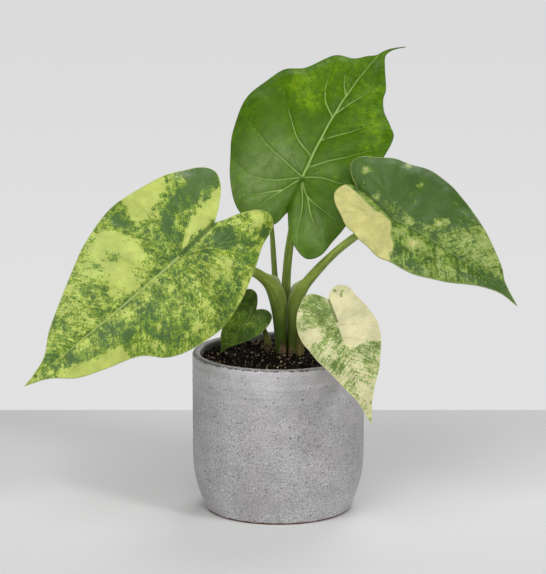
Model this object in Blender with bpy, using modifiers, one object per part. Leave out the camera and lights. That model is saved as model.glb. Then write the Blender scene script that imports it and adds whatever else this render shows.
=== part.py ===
"""Potted variegated alocasia: a speckled stoneware pot, potting soil, and a young plant with five leaves.

Metres, +Z up. The origin is the centre of the pot's flat base. -Y is the front and +X is the right.
Leaf outlines and stalk routes are in millimetres. MM turns them into metres.
"""

import math

import bmesh
import bpy
import numpy as np
from mathutils import Euler, Vector

MM = 0.001
GAP = 0.3 * MM

POT_RADIUS = 65 * MM
POT_HEIGHT = 122 * MM
POT_WALL = 6 * MM
POT_FLOOR = 8 * MM
FOOT_RADIUS = 54.5 * MM
FOOT_CURVE_HEIGHT = 45 * MM
FOOT_BEVEL = 0.8 * MM
INNER_CORNER = 10 * MM
POT_STEPS = 56

SOIL_EDGE_HEIGHT = 116.5 * MM
SOIL_MOUND = 3 * MM
SOIL_STEPS = 40

STALK_FOOT = 103.5 * MM
CROWN_CENTRE = (6 * MM, 8 * MM, 95 * MM)
CROWN_RADII = (17 * MM, 16 * MM, 12 * MM)
CROWN_TOP = STALK_FOOT - GAP

BLADE_THICKNESS = 1.2 * MM
MIDRIB_ROUNDING = 4 * MM
MARGIN_POINTS = 22
BLADE_RINGS = 6

SCALE_THICKNESS = 0.6 * MM
DRY_BROWN = (0.23, 0.13, 0.06)

# Each margin side runs from the tip to the notch between the lobes. The stalk joins the blade at (0, 0),
# the tip lies at (length, 0), and +y is the leaf's own left. "turn" is (roll, pitch, heading) in degrees.
# "wave" lists (height in mm, waves round the margin, shift in radians).
LEAVES = {
    "top_leaf_blade": {
        "place": (18.2, 30, 248.9),
        "turn": (30, -47, 46),
        "length": 144,
        "notch": (-28, -2),
        "left": [(127, 2), (120, 8), (112, 16), (108, 31), (88, 45), (81, 61), (65, 69), (42, 74),
                 (16, 70), (-4, 61), (-25, 49), (-38, 39), (-46, 28), (-50, 13), (-42, 2)],
        "right": [(128, -3), (118, -8), (101, -18), (91, -21), (80, -28), (70, -39), (62, -45), (35, -47),
                  (15, -48), (-7, -50), (-30, -45), (-48, -43), (-56, -35), (-54, -25), (-45, -13)],
        "fold": 0.26,
        "arch": 0.37,
        "droop": 0.18,
        "lobe_droop": 0.24,
        "wave": [(2.2, 7, 0.4), (1.2, 13, 1.0)],
        "curl": 12,
        "colour": (0.10, 0.27, 0.035),
    },
    "left_leaf_blade": {
        "place": (-72, -50, 206.8),
        "turn": (-55, 28, -142),
        "length": 152,
        "notch": (-39, -3),
        "left": [(136, 8), (121, 21), (101, 29), (74, 38), (58, 52), (37, 59), (10, 61), (-14, 55),
                 (-37, 44), (-59, 33), (-76, 27), (-81, 19), (-75, 10), (-59, 3), (-47, 0)],
        "right": [(142, -2), (128, -7), (113, -19), (92, -31), (65, -45), (44, -54), (15, -61), (-5, -60),
                  (-29, -56), (-50, -50), (-65, -43), (-70, -33), (-63, -21), (-51, -11)],
        "fold": 0.18,
        "arch": 0.36,
        "droop": 0.20,
        "lobe_droop": 0.20,
        "wave": [(2.5, 6, 1.1), (1.3, 11, 0.3)],
        "curl": 0,
        "colour": (0.24, 0.36, 0.05),
    },
    "right_leaf_blade": {
        "place": (85, -12, 227.5),
        "turn": (42, 26, -17),
        "length": 113,
        "notch": (-35, 10),
        "left": [(97, 8), (89, 16), (79, 23), (62, 34), (46, 44), (33, 48), (16, 53), (-2, 54),
                 (-19, 50), (-32, 42), (-43, 36), (-49, 29), (-48, 22), (-42, 15)],
        "right": [(98, -1), (84, -7), (72, -14), (58, -23), (43, -32), (28, -35), (12, -35), (-2, -34),
                  (-16, -30), (-30, -22), (-41, -14), (-47, -4), (-45, 6), (-40, 10)],
        "fold": 0.30,
        "arch": 0.32,
        "droop": 0.22,
        "lobe_droop": 0.18,
        "wave": [(1.8, 6, 0.2), (0.9, 12, 2.0)],
        "curl": 0,
        "colour": (0.16, 0.26, 0.07),
    },
    "front_leaf_blade": {
        "place": (43.3, -68, 160.5),
        "turn": (19, 49, -60),
        "length": 81,
        "notch": (-19, 0),
        "left": [(66, 5), (53, 12), (44, 18), (33, 23), (20, 28), (8, 29), (-1, 28), (-10, 24),
                 (-18, 20), (-25, 18), (-29, 13), (-28, 8), (-24, 3)],
        "right": [(74, -2), (63, -5), (53, -10), (41, -16), (31, -21), (21, -26), (9, -29), (-2, -30),
                  (-13, -27), (-22, -21), (-27, -16), (-27, -10), (-24, -5)],
        "fold": 0.22,
        "arch": 0.36,
        "droop": 0.20,
        "lobe_droop": 0.18,
        "wave": [(1.2, 6, 0.9), (0.6, 11, 0.0)],
        "curl": 0,
        "colour": (0.50, 0.56, 0.20),
    },
    "small_leaf_blade": {
        "place": (-21.2, 7, 146.9),
        "turn": (-53, 45, -157),
        "length": 36,
        "notch": (-7, 0),
        "left": [(29, 2), (23, 6), (16, 10), (7, 14), (-2, 15), (-10, 13), (-12, 8), (-10, 3)],
        "right": [(31, -3), (26, -8), (18, -12), (9, -15), (-1, -17), (-10, -18), (-16, -15), (-17, -9),
                  (-13, -4)],
        "fold": 0.24,
        "arch": 0.30,
        "droop": 0.18,
        "lobe_droop": 0.15,
        "wave": [(0.6, 5, 0.9)],
        "curl": 0,
        "colour": (0.035, 0.12, 0.02),
    },
}

# Stalk routes from the foot upwards, as (x, y, z, radius) in millimetres. A leaf's stalk ends under its blade.
STALKS = {
    "top_leaf_stem": {
        "blade": "top_leaf_blade",
        "route": [(7.6, 14.4, 120, 4.0), (6.6, 14.8, 140, 3.9), (5.9, 15.2, 158, 3.7), (6.1, 15.8, 174, 3.4),
                  (7.4, 17.2, 190, 3.2), (9.6, 20.0, 206, 3.0), (12.6, 24.6, 223, 2.7), (15.8, 30.5, 237, 2.4)],
        "end_radius": 2.0,
        "colour": (0.17, 0.30, 0.06),
    },
    "left_leaf_stem": {
        "blade": "left_leaf_blade",
        "route": [(2.5, 5.0, 121, 4.2), (2.1, 5.0, 137, 4.5), (1.1, 4.6, 150, 5.1), (-0.8, 3.6, 162, 5.4),
                  (-4.2, 1.2, 171, 4.9), (-9.6, -2.4, 178, 4.1), (-17.5, -7.5, 184.6, 3.5),
                  (-29, -15.5, 191.5, 3.2), (-46, -28, 198.5, 2.9), (-61, -40, 202.3, 2.6)],
        "end_radius": 2.2,
        "colour": (0.30, 0.42, 0.11),
    },
    "right_leaf_stem": {
        "blade": "right_leaf_blade",
        "route": [(11.6, 5.0, 121, 4.2), (11.4, 5.0, 137, 4.2), (11.7, 5.0, 151, 4.4), (13.3, 4.8, 160, 4.6),
                  (16.6, 4.2, 168, 4.3), (22.5, 3.2, 176.5, 3.9), (33.5, 1.0, 189.5, 3.6), (47, -2.0, 203, 3.3),
                  (61.5, -4.5, 214, 3.0), (75, -8, 220.5, 2.6)],
        "end_radius": 2.2,
        "colour": (0.27, 0.38, 0.10),
    },
    "front_leaf_stem": {
        "blade": "front_leaf_blade",
        "route": [(16.5, -1.2, 120, 2.9), (17.3, -2.6, 130, 2.8), (19.8, -8.5, 141, 2.6),
                  (25.0, -23, 152, 2.3), (33.5, -44, 158.5, 2.0)],
        "end_radius": 1.6,
        "colour": (0.28, 0.36, 0.12),
    },
    "small_leaf_stem": {
        "blade": "small_leaf_blade",
        "route": [(-7.6, 16.0, 120, 3.2), (-8.0, 15.8, 126, 2.8), (-9.6, 15.2, 132, 2.1), (-13.0, 13.4, 139, 1.6)],
        "end_radius": 1.2,
        "colour": (0.16, 0.26, 0.06),
    },
    "new_leaf_spear": {
        "blade": None,
        "route": [(0.6, 13.0, 120, 2.5), (-0.8, 14.6, 145, 2.5), (-2.0, 16.8, 168, 2.3), (-3.2, 20.0, 187, 2.1),
                  (-4.5, 24.5, 207, 1.8), (-6.0, 31.0, 226, 1.3), (-7.4, 37.5, 241, 0.5)],
        "end_radius": 0.5,
        "colour": (0.22, 0.36, 0.08),
    },
}

# Dried sheath scales that hug the foot of a stalk: centre, radius, the arc they cover and their height.
SCALES = {
    "dry_scale_left": {"centre": (2.4, 5.0), "radius": 5.6, "arc": (-112, -50), "low": 113, "high": 129},
    "dry_scale_right": {"centre": (11.6, 5.0), "radius": 5.4, "arc": (-138, -78), "low": 113, "high": 125},
    "dry_scale_back": {"centre": (-7.6, 16.0), "radius": 4.2, "arc": (-150, -60), "low": 114, "high": 125},
}


def clear_scene():
    for thing in list(bpy.data.objects):
        bpy.data.objects.remove(thing, do_unlink=True)


def new_collection(name):
    collection = bpy.data.collections.new(name)
    bpy.context.scene.collection.children.link(collection)
    return collection


def finish_material(name, colour, roughness, metallic=0.0):
    material = bpy.data.materials.new(name)
    material.use_nodes = True
    shader = material.node_tree.nodes["Principled BSDF"]
    shader.inputs["Base Color"].default_value = (*colour, 1.0)
    shader.inputs["Roughness"].default_value = roughness
    shader.inputs["Metallic"].default_value = metallic
    return material


def add_object(name, data, collection, material=None):
    thing = bpy.data.objects.new(name, data)
    collection.objects.link(thing)
    if material:
        data.materials.append(material)
    return thing


def shade_smooth(mesh):
    for face in mesh.polygons:
        face.use_smooth = True


def smooth_line(points, count):
    """Evenly spaced points on a Catmull-Rom curve that passes through the given points."""
    knots = np.array(points, float)
    padded = np.vstack([2 * knots[0] - knots[1], knots, 2 * knots[-1] - knots[-2]])
    steps = 12
    dense = []
    for index in range(len(knots) - 1):
        before, start, end, after = padded[index:index + 4]
        for step in range(steps):
            t = step / steps
            dense.append(0.5 * (2 * start + (end - before) * t
                                + (2 * before - 5 * start + 4 * end - after) * t ** 2
                                + (3 * start - before - 3 * end + after) * t ** 3))
    dense = np.array(dense + [knots[-1]])
    travelled = np.concatenate([[0], np.cumsum(np.linalg.norm(np.diff(dense, axis=0), axis=1))])
    wanted = np.linspace(0, travelled[-1], count)
    return np.stack([np.interp(wanted, travelled, column) for column in dense.T], axis=1)


def turned_solid(name, profile, steps, collection, material):
    """A profile of (radius, height) points turned round the Z axis."""
    mesh = bpy.data.meshes.new(name)
    vertices = [(radius, 0.0, height) for radius, height in profile]
    mesh.from_pydata(vertices, [(i, i + 1) for i in range(len(vertices) - 1)], [])
    solid = add_object(name, mesh, collection, material)
    screw = solid.modifiers.new("turn", "SCREW")
    screw.axis = "Z"
    screw.angle = 2 * math.pi
    screw.steps = steps
    screw.render_steps = steps
    screw.use_merge_vertices = True
    screw.merge_threshold = 0.00001
    screw.use_smooth_shade = True
    return solid


def wall_radius(height):
    """Outer radius of the pot: straight above, drawn in towards the foot."""
    below = max(0.0, 1 - height / FOOT_CURVE_HEIGHT)
    return POT_RADIUS - (POT_RADIUS - FOOT_RADIUS) * below ** 2.1


def make_pot(collection):
    lip = POT_WALL / 2
    inner_radius = POT_RADIUS - POT_WALL
    profile = [(0.0, POT_FLOOR)]
    for step in range(7):
        turn = math.pi / 2 * step / 6
        profile.append((inner_radius - INNER_CORNER + INNER_CORNER * math.sin(turn),
                        POT_FLOOR + INNER_CORNER - INNER_CORNER * math.cos(turn)))
    for step in range(9):
        turn = math.pi * step / 8
        profile.append((POT_RADIUS - lip - lip * math.cos(turn), POT_HEIGHT - lip + lip * math.sin(turn)))
    for height in np.linspace(FOOT_CURVE_HEIGHT, FOOT_BEVEL, 9):
        profile.append((wall_radius(height), height))
    profile.append((FOOT_RADIUS - FOOT_BEVEL, 0.0))
    profile.append((0.0, 0.0))
    return turned_solid("stoneware_pot", profile, POT_STEPS, collection,
                        finish_material("grey_stoneware", (0.33, 0.32, 0.34), 0.6))


def soil_height(radius):
    reach = POT_RADIUS - POT_WALL - GAP
    return SOIL_EDGE_HEIGHT + SOIL_MOUND * math.cos(math.pi / 2 * min(1.0, radius / reach))


def make_soil(collection):
    reach = POT_RADIUS - POT_WALL - GAP
    corner = INNER_CORNER
    profile = [(radius, soil_height(radius)) for radius in np.linspace(0, reach, 8)]
    for step in range(7):
        turn = math.pi / 2 * (1 - step / 6)
        profile.append((reach - corner + corner * math.sin(turn),
                        POT_FLOOR + GAP + corner - corner * math.cos(turn)))
    profile.append((0.0, POT_FLOOR + GAP))
    return turned_solid("potting_soil", profile, SOIL_STEPS, collection,
                        finish_material("potting_soil", (0.035, 0.024, 0.017), 0.95))


def round_body(name, collection, grow, material=None):
    """The crown: rounded, with a level top that the stalks stand on. grow makes it bigger, for its cutter."""
    mesh = bpy.data.meshes.new(name)
    body = bmesh.new()
    bmesh.ops.create_uvsphere(body, u_segments=20, v_segments=10, radius=1.0)
    bmesh.ops.scale(body, vec=[radius + grow for radius in CROWN_RADII], verts=body.verts)
    bmesh.ops.translate(body, vec=CROWN_CENTRE, verts=body.verts)
    for vertex in body.verts:
        vertex.co.z = min(vertex.co.z, CROWN_TOP + grow)
    body.to_mesh(mesh)
    body.free()
    shade_smooth(mesh)
    return add_object(name, mesh, collection, material)


def blade_outline(leaf):
    """Margin points all the way round, from the tip by the left side to the notch and back by the right."""
    tip = (leaf["length"], 0)
    left = smooth_line([tip] + leaf["left"] + [leaf["notch"]], MARGIN_POINTS)
    right = smooth_line([tip] + leaf["right"] + [leaf["notch"]], MARGIN_POINTS)
    return np.vstack([left, right[-2:0:-1]]) * MM


def blade_height(x, y, out, leaf):
    """Height of the blade over its flat plane. out is 0 at the stalk and 1 at the margin."""
    length = leaf["length"] * MM
    half_width = 0.45 * length
    height = leaf["fold"] * (np.sqrt(y ** 2 + MIDRIB_ROUNDING ** 2) - MIDRIB_ROUNDING)
    height = height - leaf["arch"] * y ** 2 / half_width
    height = height - np.where(x > 0, leaf["droop"], leaf["lobe_droop"]) * x ** 2 / length
    around = np.arctan2(y, x)
    for wave_height, waves, shift in leaf["wave"]:
        height = height + wave_height * MM * out ** 3 * np.sin(waves * around + shift)
    return height


def curl_tip(x, y, leaf):
    """Bends the long thin tip sideways."""
    start = 0.88 * leaf["length"] * MM
    past = np.clip((x - start) / (leaf["length"] * MM - start), 0, None)
    return y - leaf["curl"] * MM * past ** 2


def make_blade(name, leaf, collection):
    outline = blade_outline(leaf)
    count = len(outline)
    body = bmesh.new()
    centre = body.verts.new((0, 0, 0))
    rings = []
    for ring in range(1, BLADE_RINGS + 1):
        out = (ring / BLADE_RINGS) ** 0.85
        x = outline[:, 0] * out
        y = outline[:, 1] * out
        z = blade_height(x, y, out, leaf)
        rings.append([body.verts.new(point) for point in zip(x, curl_tip(x, y, leaf), z)])
    for i in range(count):
        after = (i + 1) % count
        body.faces.new((centre, rings[0][i], rings[0][after]))
        for inner, outer in zip(rings, rings[1:]):
            body.faces.new((inner[i], outer[i], outer[after], inner[after]))
    mesh = bpy.data.meshes.new(name)
    body.to_mesh(mesh)
    body.free()
    shade_smooth(mesh)
    blade = add_object(name, mesh, collection, finish_material(name + "_skin", leaf["colour"], 0.4))
    blade.location = Vector(leaf["place"]) * MM
    blade.rotation_euler = Euler([math.radians(angle) for angle in leaf["turn"]])
    shell = blade.modifiers.new("thickness", "SOLIDIFY")
    shell.thickness = BLADE_THICKNESS
    shell.offset = -1
    return blade


def stalk_route(stalk, grow):
    """The stalk's own points, a straight foot in the soil, and for a leaf's stalk an end under the blade."""
    x, y, _, radius = stalk["route"][0]
    route = [(x, y, (STALK_FOOT - grow) / MM, radius * 0.9)] + stalk["route"]
    if stalk["blade"]:
        leaf = LEAVES[stalk["blade"]]
        turn = Euler([math.radians(angle) for angle in leaf["turn"]])
        down = Vector((0, 0, -1))
        down.rotate(turn)
        below = (BLADE_THICKNESS + GAP) / MM + stalk["end_radius"]
        route.append((*(Vector(leaf["place"]) + down * below), stalk["end_radius"]))
    return route


def make_stalk(name, stalk, collection, grow=0.0, material=None):
    route = stalk_route(stalk, grow)
    points = smooth_line(route, 2 * len(route)) * MM
    curve = bpy.data.curves.new(name, "CURVE")
    curve.dimensions = "3D"
    curve.bevel_depth = 1.0
    curve.bevel_resolution = 4
    curve.use_fill_caps = True
    spline = curve.splines.new("POLY")
    spline.points.add(len(points) - 1)
    for point, (x, y, z, radius) in zip(spline.points, points):
        point.co = (x, y, z, 1.0)
        point.radius = radius + grow
    return add_object(name, curve, collection, material)


def make_scale(name, scale, collection, grow=0.0, material=None):
    """A thin curved scale that narrows to its tip. grow makes it bigger all round, for its cutter."""
    columns, rows = 6, 6
    start, end = [math.radians(angle) for angle in scale["arc"]]
    middle = (start + end) / 2
    radius = scale["radius"] * MM - grow
    body = bmesh.new()
    grid = []
    for row in range(rows + 1):
        up = row / rows
        width = (end - start) * math.sqrt(1 - 0.93 * up ** 2) + 2 * grow / radius
        z = (scale["low"] + (scale["high"] - scale["low"]) * up) * MM
        if row == 0:
            z -= grow
        line = []
        for column in range(columns + 1):
            angle = middle + width * (column / columns - 0.5)
            x = scale["centre"][0] * MM + radius * math.cos(angle)
            y = scale["centre"][1] * MM + radius * math.sin(angle)
            line.append(body.verts.new((x, y, z)))
        grid.append(line)
    for low, high in zip(grid, grid[1:]):
        for i in range(columns):
            body.faces.new((low[i], low[i + 1], high[i + 1], high[i]))
    mesh = bpy.data.meshes.new(name)
    body.to_mesh(mesh)
    body.free()
    shade_smooth(mesh)
    thing = add_object(name, mesh, collection, material)
    shell = thing.modifiers.new("thickness", "SOLIDIFY")
    shell.thickness = SCALE_THICKNESS + 2 * grow
    shell.offset = 1
    return thing


def to_cutter(thing, collection):
    """A hidden mesh copy of an object, grown ready for a Boolean."""
    graph = bpy.context.evaluated_depsgraph_get()
    mesh = bpy.data.meshes.new_from_object(thing.evaluated_get(graph))
    mesh.transform(thing.matrix_world)
    body = bmesh.new()
    body.from_mesh(mesh)
    bmesh.ops.remove_doubles(body, verts=body.verts, dist=0.000001)
    bmesh.ops.recalc_face_normals(body, faces=body.faces)
    body.to_mesh(mesh)
    body.free()
    cutter = bpy.data.objects.new(thing.name + "_cutter", mesh)
    collection.objects.link(cutter)
    bpy.data.objects.remove(thing, do_unlink=True)
    cutter.display_type = "WIRE"
    cutter.hide_render = True
    return cutter


def cut(solid, cutter):
    boolean = solid.modifiers.new(cutter.name, "BOOLEAN")
    boolean.operation = "DIFFERENCE"
    boolean.solver = "EXACT"
    boolean.object = cutter


def cut_sockets(soil, cutters):
    """Leaves room in the soil for the crown, every stalk and every dry scale."""
    grown = [round_body("crown_room", cutters, GAP)]
    for name, stalk in STALKS.items():
        grown.append(make_stalk(name + "_room", stalk, cutters, GAP))
    for name, scale in SCALES.items():
        grown.append(make_scale(name + "_room", scale, cutters, GAP))
    bpy.context.view_layer.update()
    for thing in grown:
        cut(soil, to_cutter(thing, cutters))


def main():
    clear_scene()
    parts = new_collection("potted_alocasia")
    cutters = new_collection("cutters")
    cutters.hide_render = True
    make_pot(parts)
    soil = make_soil(parts)
    round_body("root_crown", parts, 0.0, finish_material("root_crown_skin", (0.16, 0.10, 0.05), 0.9))
    for name, leaf in LEAVES.items():
        make_blade(name, leaf, parts)
    for name, stalk in STALKS.items():
        make_stalk(name, stalk, parts, material=finish_material(name + "_skin", stalk["colour"], 0.45))
    for name, scale in SCALES.items():
        make_scale(name, scale, parts, material=finish_material(name + "_skin", DRY_BROWN, 0.8))
    cut_sockets(soil, cutters)


main()
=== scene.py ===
import math
import random

import bmesh
import bpy
import numpy as np
from mathutils import Euler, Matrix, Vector


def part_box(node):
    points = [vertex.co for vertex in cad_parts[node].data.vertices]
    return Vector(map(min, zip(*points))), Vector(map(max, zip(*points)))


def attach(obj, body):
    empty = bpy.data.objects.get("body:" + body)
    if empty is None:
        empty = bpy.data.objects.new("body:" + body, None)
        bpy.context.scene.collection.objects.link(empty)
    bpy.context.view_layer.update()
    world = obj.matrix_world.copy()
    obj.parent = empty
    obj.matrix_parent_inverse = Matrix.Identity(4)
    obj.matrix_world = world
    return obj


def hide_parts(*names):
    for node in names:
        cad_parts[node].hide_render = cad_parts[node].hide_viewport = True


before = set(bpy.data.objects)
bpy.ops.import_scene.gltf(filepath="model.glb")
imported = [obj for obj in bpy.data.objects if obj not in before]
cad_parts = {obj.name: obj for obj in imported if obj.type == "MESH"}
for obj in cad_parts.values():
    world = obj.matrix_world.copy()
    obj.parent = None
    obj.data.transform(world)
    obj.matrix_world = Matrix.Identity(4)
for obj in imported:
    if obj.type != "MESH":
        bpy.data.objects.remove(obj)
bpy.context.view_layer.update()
mm = 0.001
scene = bpy.context.scene
print("stage 1: frame loaded,", len(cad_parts), "nodes")


# small helpers for meshes

def meshObject(name, vertices, faces, smooth=True):
    mesh = bpy.data.meshes.new(name)
    mesh.from_pydata(np.asarray(vertices, float).tolist(), [], faces)
    mesh.update()
    mesh.polygons.foreach_set("use_smooth", [smooth] * len(mesh.polygons))
    piece = bpy.data.objects.new(name, mesh)
    scene.collection.objects.link(piece)
    return piece


def addNumbers(piece, name, values):
    layer = piece.data.attributes.new(name, "FLOAT", "POINT")
    layer.data.foreach_set("value", np.asarray(values, np.float32).ravel())


def addVectors(piece, name, values):
    layer = piece.data.attributes.new(name, "FLOAT_VECTOR", "POINT")
    layer.data.foreach_set("vector", np.asarray(values, np.float32).ravel())


def smoothLine(points, count):
    # evenly spaced points on a Catmull-Rom curve through the given ones
    knots = np.array(points, float)
    padded = np.vstack([2 * knots[0] - knots[1], knots, 2 * knots[-1] - knots[-2]])
    steps = 16
    dense = []
    for index in range(len(knots) - 1):
        before, start, end, after = padded[index:index + 4]
        for step in range(steps):
            t = step / steps
            dense.append(0.5 * (2 * start + (end - before) * t
                                + (2 * before - 5 * start + 4 * end - after) * t ** 2
                                + (3 * start - before - 3 * end + after) * t ** 3))
    dense = np.array(dense + [knots[-1]])
    travelled = np.concatenate([[0], np.cumsum(np.linalg.norm(np.diff(dense, axis=0), axis=1))])
    wanted = np.linspace(0, travelled[-1], count)
    return np.stack([np.interp(wanted, travelled, column) for column in dense.T], axis=1)


def smoothStep(value, low, high):
    t = np.clip((value - low) / max(high - low, 1e-9), 0, 1)
    return t * t * (3 - 2 * t)


def ripple(x, y, size, seed):
    # gentle unevenness between -1 and 1, with humps about one size across
    total = 0
    rng = random.Random(seed)
    for wave in range(5):
        turn = rng.uniform(0, math.pi)
        reach = 2 * math.pi / (size * rng.uniform(0.8, 1.9))
        total = total + np.sin((x * math.cos(turn) + y * math.sin(turn)) * reach + rng.uniform(0, 6.28))
    return total / 3


def seatOn(piece, node):
    # moves a piece so that its middle is the middle of its CAD node
    low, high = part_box(node)
    bpy.context.view_layer.update()
    corners = np.array([piece.matrix_world @ vertex.co for vertex in piece.data.vertices])
    middle = Vector((corners.min(0) + corners.max(0)) / 2)
    piece.location += (low + high) / 2 - middle
    bpy.context.view_layer.update()


def standFor(piece, node):
    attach(piece, "root")
    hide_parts(node)


# small helpers for materials

def newFinish(name):
    finish = bpy.data.materials.new(name)
    finish.use_nodes = True
    return finish, finish.node_tree, finish.node_tree.nodes["Principled BSDF"]


def addNode(tree, kind, inputs=None, **settings):
    made = tree.nodes.new(kind)
    for key, value in settings.items():
        setattr(made, key, value)
    for key, value in (inputs or {}).items():
        if isinstance(value, bpy.types.NodeSocket):
            tree.links.new(value, made.inputs[key])
        else:
            made.inputs[key].default_value = value
    return made


def attribute(tree, name, output="Fac"):
    return addNode(tree, "ShaderNodeAttribute", attribute_name=name).outputs[output]


def placeOn(tree):
    # metres, in the piece's own space
    return addNode(tree, "ShaderNodeTexCoord").outputs["Object"]


def noise(tree, vector, scale, detail=4.0, roughness=0.55, distortion=0.0):
    inputs = {"Vector": vector, "Scale": scale, "Detail": detail, "Roughness": roughness,
              "Distortion": distortion}
    return addNode(tree, "ShaderNodeTexNoise", inputs).outputs["Fac"]


def sums(tree, operation, first, second=0.0, third=0.0, clamp=False):
    inputs = {0: first, 1: second, 2: third}
    return addNode(tree, "ShaderNodeMath", inputs, operation=operation, use_clamp=clamp).outputs[0]


def remap(tree, value, fromLow, fromHigh, toLow=0.0, toHigh=1.0):
    # an eased step from one value to another, flat outside its range
    inputs = {"Value": value, "From Min": fromLow, "From Max": fromHigh, "To Min": toLow, "To Max": toHigh}
    return addNode(tree, "ShaderNodeMapRange", inputs, interpolation_type="SMOOTHSTEP").outputs["Result"]


def times(tree, first, second):
    return sums(tree, "MULTIPLY", first, second)


def blend(tree, amount, first, second, how="MIX"):
    made = addNode(tree, "ShaderNodeMix", data_type="RGBA", blend_type=how)
    for index, value in ((0, amount), (6, first), (7, second)):
        if isinstance(value, bpy.types.NodeSocket):
            tree.links.new(value, made.inputs[index])
        elif index == 0:
            made.inputs[index].default_value = value
        else:
            made.inputs[index].default_value = (*value, 1.0)
    return made.outputs[2]


def toned(tree, colour, tone):
    # the colour made lighter or darker by one number
    grey = addNode(tree, "ShaderNodeCombineColor", {0: tone, 1: tone, 2: tone}).outputs[0]
    return blend(tree, 1.0, colour, grey, "MULTIPLY")


def scaled(tree, vector, size):
    return addNode(tree, "ShaderNodeVectorMath", {0: vector, 1: size}, operation="MULTIPLY").outputs[0]


def bump(tree, height, distance, strength=1.0, normal=None):
    inputs = {"Height": height, "Distance": distance, "Strength": strength}
    if normal:
        inputs["Normal"] = normal
    return addNode(tree, "ShaderNodeBump", inputs).outputs["Normal"]


# leaf blades, in millimetres: the stalk joins at (0, 0), the tip is at (length, 0), +y is the leaf's own left
# "areas" and "patches" add to the green level (less is creamier); the painted sheen spots mark where a pale
# haze stands in for light reflected off the blade

topLeaf = {
    "node": "top_leaf_blade",
    "slot": "green_leaf",
    "turn": (30, -47, 46),
    "length": 144,
    "notch": (-28, -2),
    "left": [(127, 2), (120, 8), (112, 16), (108, 31), (88, 45), (81, 61), (65, 69), (42, 74),
             (16, 70), (-4, 61), (-25, 49), (-38, 39), (-46, 28), (-50, 13), (-42, 2)],
    "right": [(128, -3), (118, -8), (101, -18), (91, -21), (80, -28), (70, -39), (62, -45), (35, -47),
              (15, -48), (-7, -50), (-30, -45), (-48, -43), (-56, -35), (-54, -25), (-45, -13)],
    "fold": 0.26,
    "arch": 0.37,
    "droop": 0.18,
    "lobeDroop": 0.24,
    "wave": [(2.2, 7, 0.4), (1.2, 13, 1.0)],
    "curl": 12,
    "bow": 4.5,
    "quilt": 3.4,
    "veinWidth": 2.3,
    "veins": [[(57, 4.4), (67, 16), (82, 23), (104, 29)], [(19, 2), (27, 18), (40, 31), (62, 50)],
              [(1, 1), (6, 18), (13, 38), (27, 63)], [(0, 1), (-10, 15), (-15, 28), (-15, 42), (-7, 57)],
              [(-2, 1), (-15, 8), (-30, 16), (-43, 21)], [(60, 4.3), (75, -2), (90, -9), (107, -14)],
              [(35, 3), (46, -9), (58, -20), (75, -32)], [(9, 1), (18, -8), (29, -21), (46, -38)],
              [(1, -1), (6, -14), (8, -27), (11, -44)], [(-2, -1), (-12, -11), (-17, -26), (-20, -44)],
              [(-3, -1), (-20, -11), (-38, -17), (-52, -23)], [(78, 4.2), (88, 11), (103, 16)],
              [(-12, -11), (-26, -22), (-40, -38)], [(-15, 8), (-26, 22), (-33, 37)]],
    "greenLevel": 0.30,
    "areas": [],
    "paintedSheen": [(-22, 28, 26, 0.80), (12, 34, 20, 0.45), (-34, -28, 20, 0.60), (10, 14, 14, 0.40),
              (14, -14, 12, 0.35)],
    "patches": [(75, 36, 18, -0.26), (62, 30, 9, -0.20), (102, 14, 14, -0.06), (62, -26, 9, -0.34),
                (86, -12, 12, -0.08), (30, 50, 20, 0.04), (50, 56, 14, 0.12), (8, 22, 34, 0.10),
                (-25, -30, 25, 0.20), (-36, 8, 9, 0.50), (-25, 24, 16, 0.06), (34, -12, 12, 0.16),
                (20, -26, 12, 0.16), (44, 12, 12, 0.14), (24, 8, 10, 0.12)],
    "palette": {"pale": (0.150, 0.260, 0.003), "light": (0.094, 0.200, 0.001), "mid": (0.073, 0.165, 0.001),
                "dark": (0.053, 0.130, 0.001), "vein": (0.32, 0.45, 0.13), "rim": (0.05, 0.11, 0.005)},
    "marble": {"patch": 1.1, "blotch": 1.0, "dot": 0.35, "streak": 0.9},
    "softness": 0.09,
    "veinShow": 0.95,
    "veinOnPale": 0.8,
    "darkAt": 0.27,
    "gloss": 0.14,
    "sideShow": 0.85,
    "groove": 0.3,
    "seed": 3,
}

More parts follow.
